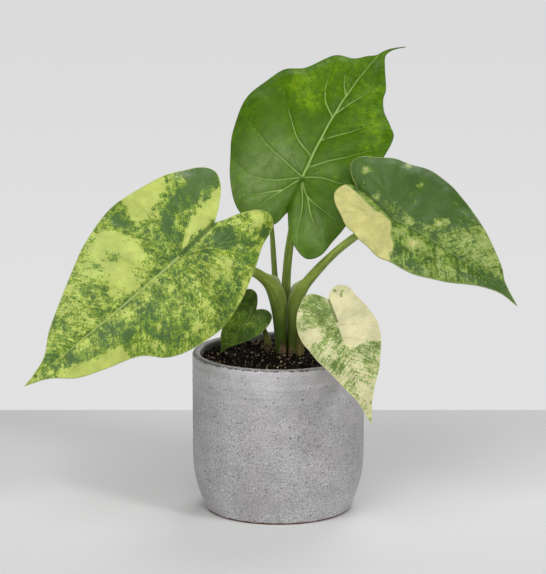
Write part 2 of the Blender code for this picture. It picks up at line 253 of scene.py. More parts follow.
leftLeaf = {
    "node": "left_leaf_blade",
    "slot": "marbled_leaf",
    "turn": (-55, 28, -142),
    "length": 152,
    "notch": (-39, -3),
    "left": [(136, 8), (121, 21), (101, 29), (74, 38), (58, 52), (37, 59), (10, 61), (-14, 55),
             (-37, 44), (-59, 33), (-76, 27), (-81, 19), (-75, 10), (-59, 3), (-47, 0)],
    "right": [(142, -2), (128, -7), (113, -19), (92, -31), (65, -45), (44, -54), (15, -61), (-5, -60),
              (-29, -56), (-50, -50), (-65, -43), (-70, -33), (-63, -21), (-51, -11)],
    "fold": 0.18,
    "arch": 0.36,
    "droop": 0.20,
    "lobeDroop": 0.20,
    "wave": [(2.5, 6, 1.1), (1.3, 11, 0.3)],
    "curl": 0,
    "bow": 1.8,
    "quilt": 1.9,
    "veinWidth": 2.4,
    "leftVeins": [(0.50, 0.18), (0.34, 0.28), (0.20, 0.37), (0.10, 0.46), (0.02, 0.55), (0.0, 0.64)],
    "rightVeins": [(0.50, 0.19), (0.33, 0.29), (0.18, 0.39), (0.06, 0.49), (0.0, 0.58)],
    "lobeVeins": [(0.80, [0.72, 0.88]), (0.80, [0.68, 0.88])],
    "greenLevel": 0.13,
    "areas": [([(-62, -24), (-50, -28), (-40, -23), (-20, -26), (-4, -20), (-12, -34), (-40, -40),
                (-56, -50), (-70, -44), (-72, -34)], 0.55),
              ([(-60, -10), (-44, -6), (-20, -7), (-6, -4), (-22, -14), (-42, -18),
                (-60, -20)], -0.85),
              ([(-30, -48), (0, -39), (10, -42), (6, -50), (-2, -62), (-30, -58)], -0.75),
              ([(22, -14), (36, -16), (52, -22), (52, -40), (36, -50), (24, -38)], -0.55),
              ([(42, -3), (60, -4), (62, -14), (50, -22), (40, -14)], -0.40),
              ([(-46, 4), (-30, 3), (-27, 12), (-34, 19), (-44, 14)], 0.55),
              ([(38, 14), (52, 12), (60, 20), (57, 40), (46, 50), (38, 40), (44, 28)], 0.32),
              ([(2, 4), (28, 3), (40, 8), (34, 20), (12, 24)], 0.10),
              ([(82, 24), (100, 20), (112, 15), (128, 8), (126, 24), (100, 34), (84, 36)], -0.60)],
    "paintedSheen": [(-50, -34, 16, 0.35), (44, -34, 12, 0.25), (64, -34, 10, 0.30)],
    "patches": [(-58, -36, 8, 0.35), (18, -49, 9, 0.45), (4, -46, 5, 0.40), (43, -31, 5, 0.55),
                (34, -22, 4, 0.35), (62, -36, 10, -0.30), (88, -24, 9, 0.06), (127, -5, 9, 0.20),
                (68, -20, 9, 0.10), (80, 8, 7, 0.15), (72, 22, 8, 0.28), (50, 30, 4, -0.30),
                (-68, 25, 6, 0.50), (-70, 16, 6, -0.60), (-46, 24, 8, 0.25), (-40, 36, 9, 0.22),
                (-22, 28, 6, -0.35), (-16, 10, 7, 0.22), (-4, -16, 9, 0.35), (10, -26, 8, 0.22),
                (-14, 44, 10, 0.06), (12, 28, 9, 0.16), (30, 42, 7, 0.18), (65, 42, 8, 0.05),
                (70, 12, 7, 0.25), (90, 10, 6, 0.55), (100, 6, 5, -0.25), (114, 8, 6, 0.40),
                (36, 10, 5, 0.15), (62, 8, 5, -0.20), (24, 14, 4, -0.45)],
    "palette": {"pale": (0.460, 0.535, 0.120), "light": (0.270, 0.375, 0.040), "mid": (0.150, 0.250, 0.022),
                "dark": (0.060, 0.128, 0.024), "vein": (0.38, 0.48, 0.16), "rim": (0.42, 0.50, 0.14)},
    "marble": {"patch": 1.3, "blotch": 2.1, "dot": 1.3, "streak": 1.3},
    "softness": 0.03,
    "veinShow": 0.8,
    "veinOnPale": 0.3,
    "darkAt": 0.34,
    "gloss": 0.27,
    "sideShow": 0.3,
    "groove": 0.16,
    "seed": 11,
}

rightLeaf = {
    "node": "right_leaf_blade",
    "slot": "half_cream_leaf",
    "turn": (42, 26, -17),
    "length": 113,
    "notch": (-35, 10),
    "left": [(97, 8), (89, 16), (79, 23), (62, 34), (46, 44), (33, 48), (16, 53), (-2, 54), (-19, 50),
             (-32, 42), (-43, 36), (-49, 29), (-48, 22), (-42, 15)],
    "right": [(98, -1), (84, -7), (72, -14), (58, -23), (43, -32), (28, -35), (12, -35), (-2, -34),
              (-16, -30), (-30, -22), (-41, -14), (-47, -4), (-45, 6), (-40, 10)],
    "fold": 0.30,
    "arch": 0.32,
    "droop": 0.22,
    "lobeDroop": 0.18,
    "wave": [(1.8, 6, 0.2), (0.9, 12, 2.0)],
    "curl": 0,
    "bow": 1.5,
    "quilt": 1.5,
    "veinWidth": 1.5,
    "leftVeins": [(0.50, 0.20), (0.34, 0.30), (0.20, 0.40), (0.08, 0.50), (0.0, 0.60)],
    "rightVeins": [(0.50, 0.20), (0.32, 0.31), (0.16, 0.42), (0.03, 0.53), (0.0, 0.63)],
    "lobeVeins": [(0.80, [0.70, 0.89]), (0.80, [0.72, 0.89])],
    "greenLevel": 0.32,
    "areas": [([(-38, 5), (-28, 1), (-14, -3), (-2, -4), (3, -9), (7, -17), (14, -25), (12, -30),
                (16, -38), (-6, -44), (-38, -34), (-58, -14), (-54, 6)], -2.60),
              ([(-36, 10), (-20, 4), (-2, 0), (-4, -3), (-16, -1), (-30, 3)], -0.25),
              ([(6, -4), (30, -2), (60, -1), (84, -1), (74, -14), (44, -34), (16, -36), (12, -24),
                (8, -14)], -0.08),
              ([(46, 18), (58, 34), (76, 28), (96, 12), (84, 5), (66, 5), (52, 8)], -0.19)],
    "paintedSheen": [(-30, 34, 16, 0.25)],
    "patches": [(0, 36, 26, 0.50), (-26, 26, 18, 0.45), (32, 34, 16, 0.40), (16, 14, 8, 0.30),
                (10, -10, 5, -0.25), (25, -11, 5, -0.75), (14, -6, 4, -0.25), (18, -24, 5, 0.30),
                (38, -24, 8, 0.06), (84, -5, 6, 0.30), (32, 15, 3, -0.75), (36, 20, 3, -0.70),
                (26, 8, 3, -0.45), (12, 5, 4, -0.70), (42, 6, 8, -0.18), (-36, 25, 4, -0.75),
                (5, 36, 3, -0.75), (3, 33, 2, -0.6), (-13, 50, 3, -0.80), (-19, 8, 4, -0.5),
                (50, -12, 6, -0.10), (96, 0, 12, 0.30)],
    "palette": {"pale": (0.520, 0.495, 0.180), "light": (0.285, 0.362, 0.095), "mid": (0.140, 0.230, 0.020),
                "dark": (0.050, 0.110, 0.014), "vein": (0.20, 0.30, 0.09), "rim": (0.30, 0.34, 0.12)},
    "marble": {"patch": 0.9, "blotch": 1.7, "dot": 1.0, "streak": 1.2},
    "softness": 0.035,
    "veinShow": 0.6,
    "veinOnPale": 0.04,
    "darkAt": 0.3,
    "gloss": 0.27,
    "paleAt": -0.36,
    "sideShow": 0.5,
    "groove": 0.1,
    "seed": 23,
}

frontLeaf = {
    "node": "front_leaf_blade",
    "slot": "cream_leaf",
    "turn": (19, 49, -60),
    "length": 81,
    "notch": (-19, 0),
    "left": [(66, 5), (53, 12), (44, 18), (33, 23), (20, 28), (8, 29), (-1, 28), (-10, 24), (-18, 20),
             (-25, 18), (-29, 13), (-28, 8), (-24, 3)],
    "right": [(74, -2), (63, -5), (53, -10), (41, -16), (31, -21), (21, -26), (9, -29), (-2, -30),
              (-13, -27), (-22, -21), (-27, -16), (-27, -10), (-24, -5)],
    "fold": 0.22,
    "arch": 0.36,
    "droop": 0.20,
    "lobeDroop": 0.18,
    "wave": [(1.2, 6, 0.9), (0.6, 11, 0.0)],
    "curl": 0,
    "bow": -1.0,
    "quilt": 0.35,
    "veinWidth": 1.1,
    "leftVeins": [(0.50, 0.20), (0.33, 0.31), (0.17, 0.43), (0.04, 0.54), (0.0, 0.64)],
    "rightVeins": [(0.50, 0.20), (0.33, 0.31), (0.17, 0.43), (0.04, 0.54), (0.0, 0.64)],
    "lobeVeins": [(0.80, [0.73, 0.89]), (0.80, [0.73, 0.89])],
    "greenLevel": 0.05,
    "areas": [([(-22, 0), (-6, 1), (12, 1), (22, 3), (21, 10), (17, 15), (21, 22), (18, 32), (-8, 34),
                (-34, 22), (-34, 6)], -2.00)],
    "paintedSheen": [(-12, -8, 8, 0.20)],
    "patches": [(-25, 7, 3.5, 2.3), (-19, 10, 3.2, 2.1), (-23, 13, 2.5, 1.9), (24, 8, 5, 0.30),
                (26, 20, 5, 0.25), (37, 13, 5, 0.30), (47, 16, 5, 0.18), (-15, -15, 10, 0.26),
                (-22, -8, 5, 0.30), (9, -5, 6, 0.35), (-2, -12, 5, 0.22), (6, -20, 4, -0.85),
                (8, -25, 3, -0.60), (15, -20, 6, 0.05), (23, -17, 5, -0.10), (33, -12, 5, 0.45),
                (25, -5, 4, 0.10), (-14, -24, 3, -0.40), (58, 2, 14, -0.10), (-10, -3, 5, 0.25)],
    "palette": {"pale": (0.610, 0.575, 0.330), "light": (0.430, 0.475, 0.200), "mid": (0.215, 0.300, 0.068),
                "dark": (0.100, 0.168, 0.026), "vein": (0.50, 0.52, 0.26), "rim": (0.56, 0.56, 0.30)},
    "marble": {"patch": 0.7, "blotch": 1.2, "dot": 1.1, "streak": 1.5},
    "softness": 0.045,
    "veinShow": 0.55,
    "veinOnPale": 0.03,
    "darkAt": 0.3,
    "gloss": 0.27,
    "sideShow": 0.4,
    "groove": 0.02,
    "seed": 31,
}

smallLeaf = {
    "node": "small_leaf_blade",
    "slot": "dark_leaf",
    "turn": (-53, 45, -157),
    "length": 36,
    "notch": (-7, 0),
    "left": [(29, 2), (23, 6), (16, 10), (7, 14), (-2, 15), (-10, 13), (-12, 8), (-10, 3)],
    "right": [(31, -3), (26, -8), (18, -12), (9, -15), (-1, -17), (-10, -18), (-16, -15), (-17, -9),
              (-13, -4)],
    "fold": 0.24,
    "arch": 0.30,
    "droop": 0.18,
    "lobeDroop": 0.15,
    "wave": [(0.6, 5, 0.9)],
    "curl": 0,
    "bow": 0.5,
    "quilt": 0.7,
    "veinWidth": 0.9,
    "leftVeins": [(0.42, 0.24), (0.22, 0.40), (0.02, 0.56)],
    "rightVeins": [(0.42, 0.24), (0.22, 0.40), (0.02, 0.56)],
    "lobeVeins": [(0.80, [0.88]), (0.80, [0.88])],
    "greenLevel": 0.28,
    "areas": [],
    "paintedSheen": [(-8, 6, 8, 0.20)],
    "patches": [(5, 8, 6, -0.10), (12, -8, 6, -0.18), (-8, 10, 5, 0.10)],
    "palette": {"pale": (0.300, 0.420, 0.070), "light": (0.200, 0.310, 0.035), "mid": (0.115, 0.215, 0.016),
                "dark": (0.060, 0.125, 0.008), "vein": (0.26, 0.36, 0.10), "rim": (0.24, 0.33, 0.10)},
    "marble": {"patch": 1.0, "blotch": 1.3, "dot": 0.6, "streak": 0.6},
    "softness": 0.05,
    "veinShow": 0.9,
    "veinOnPale": 0.6,
    "darkAt": 0.27,
    "gloss": 0.27,
    "sideShow": 0.9,
    "groove": 0.08,
    "seed": 41,
}

bladeDetail = {
    "aroundHalf": 190,       # margin points on each side
    "rings": 74,             # rings between the stalk and the margin
    "smallLength": 50,       # mm, a shorter blade is drawn with the next two instead
    "smallHalf": 90,
    "smallRings": 30,
    "thickness": 0.55,       # mm, near the middle
    "ribDepth": 1.3,         # mm, how far the midrib stands out underneath
    "midribRounding": 4.0,   # mm
    "veinBulge": 0.06,       # how far a side vein bows towards the stalk, as part of its length
    "quiltReach": 5.0,       # mm, how far from a vein the skin rises
    "curlFrom": 0.88,        # part of the length where the tip starts to curl aside
    # widths of each kind of vein at its start and end, as parts of the midrib's
    "midribTaper": (1.0, 0.22),
    "drawnTaper": (0.58, 0.26),
    "sideTaper": (0.58, 0.22),
    "lobeTaper": (0.60, 0.18),
    "branchTaper": (0.38, 0.12),
    # colour of the painted sheen: a pale greyish green standing in for reflected light
    "sheenTone": (0.255, 0.340, 0.130),
    "underTone": (0.30, 0.38, 0.16),
    "underVein": (0.36, 0.45, 0.19),
}


def bowedMidrib(leaf, x):
    along = np.clip(x / leaf["length"], 0, 1)
    return leaf["bow"] * np.sin(math.pi * along)


def bladeHeight(leaf, x, y, out):
    length = leaf["length"]
    rounding = bladeDetail["midribRounding"]
    across = y - bowedMidrib(leaf, x)
    height = leaf["fold"] * (np.sqrt(across ** 2 + rounding ** 2) - rounding)
    height = height - leaf["arch"] * across ** 2 / (0.45 * length)
    height = height - np.where(x > 0, leaf["droop"], leaf["lobeDroop"]) * x ** 2 / length
    around = np.arctan2(y, x)
    for waveHeight, waves, shift in leaf["wave"]:
        height = height + waveHeight * out ** 3 * np.sin(waves * around + shift)
    return height


def curlTip(leaf, x, y):
    start = bladeDetail["curlFrom"] * leaf["length"]
    past = np.clip((x - start) / (leaf["length"] - start), 0, None)
    return y - leaf["curl"] * past ** 2


def alongLine(line, part):
    place = part * (len(line) - 1)
    index = min(int(place), len(line) - 2)
    return line[index] + (line[index + 1] - line[index]) * (place - index)


def veinBetween(start, end, bulge, count=14):
    middle = (start + end) / 2
    middle[0] -= bulge * np.linalg.norm(end - start)
    t = np.linspace(0, 1, count)[:, None]
    return (1 - t) ** 2 * start + 2 * t * (1 - t) * middle + t ** 2 * end


def veinWidths(leaf, taper):
    startPart, endPart = bladeDetail[taper]
    return startPart * leaf["veinWidth"], endPart * leaf["veinWidth"]


def bladeVeins(leaf, leftSide, rightSide):
    # every vein as its points and its widths at the start and the end, the midrib first
    length = leaf["length"]
    x = np.linspace(0, length * 0.985, 30)
    veins = [(np.stack([x, bowedMidrib(leaf, x)], 1), veinWidths(leaf, "midribTaper"))]
    for drawn in leaf.get("veins", []):
        veins.append((smoothLine(drawn, 16), veinWidths(leaf, "drawnTaper")))
    for side, starts in ((leftSide, leaf.get("leftVeins", [])), (rightSide, leaf.get("rightVeins", []))):
        for startPart, marginPart in starts:
            start = np.array([startPart * length, float(bowedMidrib(leaf, startPart * length))])
            end = alongLine(side, marginPart) * 0.95
            line = veinBetween(start, end, bladeDetail["veinBulge"])
            veins.append((line, veinWidths(leaf, "sideTaper")))
    for side, (lobePart, branches) in zip((leftSide, rightSide), leaf.get("lobeVeins", [])):
        end = alongLine(side, lobePart) * 0.93
        costa = veinBetween(np.zeros(2), end, -0.04)
        veins.append((costa, veinWidths(leaf, "lobeTaper")))
        for index, marginPart in enumerate(branches):
            start = costa[4 + 2 * index]
            branchEnd = alongLine(side, marginPart) * 0.94
            veins.append((veinBetween(start, branchEnd, 0.04), veinWidths(leaf, "branchTaper")))
    return veins


def distanceTo(points, line, widths=None):
    # distance to a line of points, and the width of the line at the nearest place
    best = np.full(len(points), 1e9)
    wide = np.ones(len(points))
    count = len(line) - 1
    for index in range(count):
        start, run = line[index], line[index + 1] - line[index]
        away = points - start
        part = np.clip(away @ run / max(run @ run, 1e-12), 0, 1)
        gap = np.linalg.norm(away - part[:, None] * run, axis=1)
        nearer = gap < best
        best = np.where(nearer, gap, best)
        if widths is not None:
            here = widths[0] + (widths[1] - widths[0]) * (index + part) / count
            wide = np.where(nearer, here, wide)
    return best, wide


def nearestVein(points, veins):
    # distance to the vein that is nearest for its width, and that width
    best = np.full(len(points), 1e9)
    wide = np.ones(len(points))
    for line, widths in veins:
        gap, here = distanceTo(points, line, widths)
        nearer = gap / here < best / wide
        best = np.where(nearer, gap, best)
        wide = np.where(nearer, here, wide)
    return best, wide


def insideArea(points, outline, soft):
    # 1 well inside a closed outline, 0 well outside it
    ring = np.vstack([outline, outline[:1]]).astype(float)
    gap = distanceTo(points, ring)[0]
    inside = np.zeros(len(points), bool)
    for (ax, ay), (bx, by) in zip(ring[:-1], ring[1:]):
        crosses = (ay > points[:, 1]) != (by > points[:, 1])
        where = (bx - ax) * (points[:, 1] - ay) / (by - ay + 1e-12) + ax
        inside ^= crosses & (points[:, 0] < where)
    return smoothStep(np.where(inside, gap, -gap), -soft, soft)


def spotTotal(spots, x, y):
    # soft round spots, each (x, y, size, amount)
    total = np.zeros(len(x))
    for spotX, spotY, size, amount in spots:
        total = total + amount * np.exp(-((x - spotX) ** 2 + (y - spotY) ** 2) / size ** 2)
    return total


def paintedGreen(leaf, x, y):
    total = np.full(len(x), leaf["greenLevel"])
    for outline, amount in leaf["areas"]:
        total = total + amount * insideArea(np.stack([x, y], 1), smoothLine(outline + outline[:1], 60), 2.5)
    return total + spotTotal(leaf["patches"], x, y)


# painted sheen: how strongly the pale haze that stands in for reflected light lies at each point
def sheenSpots(leaf, x, y):
    return np.clip(spotTotal(leaf["paintedSheen"], x, y), 0, 1)


def makeBlade(leaf):
    tip = (leaf["length"], 0)
    small = leaf["length"] <= bladeDetail["smallLength"]
    half = bladeDetail["smallHalf" if small else "aroundHalf"]
    rings = bladeDetail["smallRings" if small else "rings"]
    leftSide = smoothLine([tip] + leaf["left"] + [leaf["notch"]], half)
    rightSide = smoothLine([tip] + leaf["right"] + [leaf["notch"]], half)
    outline = np.vstack([leftSide, rightSide[-2:0:-1]])
    count = len(outline)
    out = (np.arange(1, rings + 1) / rings) ** 0.8
    x = np.concatenate([[0], (out[:, None] * outline[None, :, 0]).ravel()])
    y = np.concatenate([[0], (out[:, None] * outline[None, :, 1]).ravel()])
    spread = np.concatenate([[0], np.repeat(out, count)])
    points = np.stack([x, y], 1)
    veins = bladeVeins(leaf, leftSide, rightSide)
    gap, wide = nearestVein(points, veins)
    edge = distanceTo(points, np.vstack([outline, outline[:1]]))[0]
    crease = distanceTo(points, np.array([(0.0, 0.0), leaf["notch"]]))[0]
    bigness = leaf["length"] / 150
    strong = 0.35 + 0.65 * np.clip(2.4 * wide / leaf["veinWidth"], 0, 1)
    puff = 1 - strong * np.exp(-gap / bladeDetail["quiltReach"])
    puff = puff * smoothStep(edge, 0, 9)
    height = bladeHeight(leaf, x, y, spread) + leaf["quilt"] * puff
    height = height + 0.14 * leaf["quilt"] * ripple(x, y, 14, leaf["seed"]) * smoothStep(edge, 0, 8)
    height = height + 0.02 * leaf["quilt"] * ripple(x, y, 5, leaf["seed"] + 1) * smoothStep(edge, 0, 5)
    height = height - leaf["groove"] * np.exp(-(gap / (0.6 * wide)) ** 2)
    height = height - 1.2 * bigness * np.exp(-(crease / (1.8 * bigness)) ** 2)
    thickness = bladeDetail["thickness"] * (0.45 + 0.55 * smoothStep(edge, 0, 5))
    rib = bladeDetail["ribDepth"] * np.sqrt(wide / leaf["veinWidth"]) * wide / 2.0
    under = height - thickness - rib * np.exp(-(gap / (0.55 * wide + 0.25)) ** 2)
    under = under - 0.3 * leaf["quilt"] * (1 - puff)
    bent = curlTip(leaf, x, y)
    top = np.stack([x, bent, height], 1)
    below = np.stack([x, bent, under], 1)
    total = len(x)
    faces = []
    for i in range(count):
        after = (i + 1) % count
        faces.append((0, 1 + i, 1 + after))
        faces.append((total, total + 1 + after, total + 1 + i))
        for ring in range(rings - 1):
            low, high = 1 + ring * count, 1 + (ring + 1) * count
            faces.append((low + i, high + i, high + after, low + after))
            faces.append((total + low + after, total + high + after, total + high + i, total + low + i))
        last = 1 + (rings - 1) * count
        faces.append((last + i, total + last + i, total + last + after, last + after))
    piece = meshObject(leaf["node"].replace("_blade", ""), np.vstack([top, below]) * mm, faces)
    backwards = smoothStep(-x, -12, 12)
    angle = np.arctan2(y, x)
    across = (x - 0.75 * np.abs(y)) * (1 - backwards) + np.abs(angle) * 28 * backwards
    along = np.hypot(x, y)
    addNumbers(piece, "midrib", np.tile(distanceTo(points, veins[0][0])[0] < gap + 0.01, 2))
    addNumbers(piece, "veinGap", np.tile(np.clip(gap, 0, 6), 2))
    addNumbers(piece, "veinWide", np.tile(wide, 2))
    addNumbers(piece, "edgeGap", np.tile(np.clip(edge, 0, 8), 2))
    addNumbers(piece, "creaseGap", np.tile(np.clip(crease, 0, 8), 2))
    addNumbers(piece, "green", np.tile(paintedGreen(leaf, x, y), 2))
    addNumbers(piece, "paintedSheen", np.tile(sheenSpots(leaf, x, y), 2))
    addNumbers(piece, "under", np.repeat([0.0, 1.0], total))
    spots = np.stack([x, y, np.full(total, leaf["seed"] * 7.0)], 1)
    flows = np.stack([across, along, np.full(total, leaf["seed"] * 3.0)], 1)
    addVectors(piece, "spot", np.tile(spots, (2, 1)))
    addVectors(piece, "flow", np.tile(flows, (2, 1)))
    piece.data.transform(Euler([math.radians(angle) for angle in leaf["turn"]]).to_matrix().to_4x4())
    seatOn(piece, leaf["node"])
    piece.data.materials.append(leafFinish(leaf))
    standFor(piece, leaf["node"])
    return piece


def leafFinish(leaf):
    finish, tree, shader = newFinish(leaf["node"].replace("blade", "skin"))
    paint, marble, soft = leaf["palette"], leaf["marble"], leaf["softness"]
    spot = attribute(tree, "spot", "Vector")
    flow = attribute(tree, "flow", "Vector")
    under = attribute(tree, "under")
    edge = attribute(tree, "edgeGap")
    wide = attribute(tree, "veinWide")
    # marbling: wide, small and finest mottle, and streaks that follow the veins, over the painted patches
    layers = [(noise(tree, spot, 0.075, 4.0, 0.60, 0.6), marble["patch"]),
              (noise(tree, spot, 0.24, 5.0, 0.72, 0.4), marble["blotch"]),
              (noise(tree, spot, 1.05, 2.0, 0.60), marble["dot"]),
              (noise(tree, scaled(tree, flow, (0.50, 0.070, 1.0)), 1.0, 4.0, 0.65, 0.3), marble["streak"])]
    field = attribute(tree, "green")
    for layer, weight in layers:
        field = sums(tree, "MULTIPLY_ADD", layer, weight, field)
    field = sums(tree, "SUBTRACT", field, 0.5 * sum(weight for layer, weight in layers))
    second = noise(tree, scaled(tree, spot, (1.0, 1.0, 2.3)), 0.16, 7.0, 0.72, 0.4)
    third = noise(tree, scaled(tree, spot, (1.0, 1.0, 3.7)), 0.42, 5.0, 0.70)
    greener = sums(tree, "MULTIPLY_ADD", sums(tree, "SUBTRACT", third, 0.5), marble["blotch"], field)
    deepening = 0.6 * marble["patch"] + 0.6
    deeper = sums(tree, "MULTIPLY_ADD", sums(tree, "SUBTRACT", second, 0.5), deepening, field)
    paleAt, darkAt = leaf.get("paleAt", 0.0), leaf["darkAt"]
    lightPart = remap(tree, field, paleAt - 0.03 - soft, paleAt + 0.03 + soft)
    colour = blend(tree, lightPart, paint["pale"], paint["light"])
    midPart = remap(tree, greener, 0.09 - soft, 0.15 + soft)
    colour = blend(tree, midPart, colour, paint["mid"])
    colour = blend(tree, remap(tree, deeper, darkAt - soft, darkAt + 0.06 + soft), colour, paint["dark"])
    # soft cloudiness inside each tone
    cloud = remap(tree, noise(tree, spot, 0.10, 3.0, 0.5), 0.30, 0.70, 0.88, 1.12)
    grainTone = remap(tree, noise(tree, spot, 1.6, 3.0, 0.6), 0.25, 0.75, 0.92, 1.08)
    tone = times(tree, cloud, grainTone)
    brushed = remap(tree, layers[3][0], 0.32, 0.68, 0.95, 1.05)
    tone = times(tree, tone, brushed)
    colour = toned(tree, colour, tone)
    # painted sheen: a pale greyish haze mixed in where light would reflect off the blade
    sheenAmount = times(tree, attribute(tree, "paintedSheen"), remap(tree, second, 0.35, 0.65, 0.32, 0.72))
    colour = blend(tree, sheenAmount, colour, bladeDetail["sheenTone"])
    # veins, crease and margin
    ratio = sums(tree, "DIVIDE", attribute(tree, "veinGap"), wide)
    near = remap(tree, attribute(tree, "veinGap"), 1.6, 3.2, 1.0, 0.0)
    veinLine = times(tree, remap(tree, ratio, 0.22, 0.70, 1.0, 0.0), near)
    thick = remap(tree, wide, 0.10 * leaf["veinWidth"], 0.60 * leaf["veinWidth"], 0.30, 1.0)
    onGreen = remap(tree, midPart, 0.0, 1.0, leaf["veinOnPale"], 1.0)
    onMidrib = attribute(tree, "midrib")
    thick = times(tree, thick, remap(tree, onMidrib, 0.0, 1.0, leaf["sideShow"], 1.0))
    veinTint = times(tree, times(tree, veinLine, thick), leaf["veinShow"])
    colour = blend(tree, times(tree, veinTint, onGreen), colour, paint["vein"])
    # painted shade: darker green along each side of the veins, strongest beside the midrib
    veinSideShade = times(tree, remap(tree, ratio, 0.6, 2.2, 1.0, 0.0), near)
    veinSideShade = times(tree, sums(tree, "SUBTRACT", veinSideShade, veinLine, clamp=True), onGreen)
    veinSideShadeStrength = remap(tree, wide, 0.4 * leaf["veinWidth"], leaf["veinWidth"], 0.25, 0.60)
    colour = blend(tree, times(tree, veinSideShade, veinSideShadeStrength), colour, paint["dark"])
    # the crease from the stalk to the notch: darker green, partly the blade's own colour and partly painted
    # shade
    bigness = leaf["length"] / 150
    creaseTintAndShade = remap(tree, attribute(tree, "creaseGap"), 0.6 * bigness, 2.8 * bigness, 0.85, 0.0)
    colour = blend(tree, creaseTintAndShade, colour, tuple(0.85 * c for c in paint["dark"]))
    # the margin: a thin rim tone, paler on most blades, partly the blade's own edge and partly a painted edge
    # highlight
    colour = blend(tree, remap(tree, edge, 0.10, 0.70, 0.75, 0.0), colour, paint["rim"])
    # the underside is paler and duller, with the veins standing out
    pale = blend(tree, 0.35, colour, bladeDetail["underTone"])
    pale = blend(tree, times(tree, veinLine, 0.45), pale, bladeDetail["underVein"])
    colour = blend(tree, under, colour, pale)
    tree.links.new(colour, shader.inputs["Base Color"])
    rough = remap(tree, noise(tree, spot, 0.5, 4.0, 0.6), 0.3, 0.7, 0.34, 0.48)
    tree.links.new(sums(tree, "MULTIPLY_ADD", under, 0.2, rough), shader.inputs["Roughness"])
    # relief: sunken veins, a net of veinlets and fine skin
    cells = {"Vector": scaled(tree, flow, (0.55, 0.26, 1.0)), "Scale": 1.0}
    net = addNode(tree, "ShaderNodeTexVoronoi", cells, feature="DISTANCE_TO_EDGE")
    veinlets = remap(tree, net.outputs["Distance"], 0.0, 0.16)
    skin = times(tree, noise(tree, spot, 2.2, 3.0, 0.6), 0.30)
    relief = sums(tree, "MULTIPLY_ADD", veinlets, 0.35, skin)
    relief = sums(tree, "SUBTRACT", relief, times(tree, veinLine, 0.9))
    tree.links.new(bump(tree, relief, 0.00025, 0.8), shader.inputs["Normal"])
    shader.inputs["Specular IOR Level"].default_value = leaf["gloss"]
    shader.inputs["Subsurface Weight"].default_value = 0.08
    shader.inputs["Subsurface Scale"].default_value = 0.0012
    shader.inputs["Subsurface Radius"].default_value = (0.8, 1.0, 0.2)
    return finish


for leaf in (topLeaf, leftLeaf, rightLeaf, frontLeaf, smallLeaf):
    blade = makeBlade(leaf)
    print("stage 2: blade", blade.name, len(blade.data.polygons), "faces")


# stalks: "route" holds (x, y, z, radius) in millimetres from the foot up
# "sheath" is the part of the length that the wings cover, "wing" how far they stand out
# "nudge" moves a whole stalk, so that its end sits in its blade

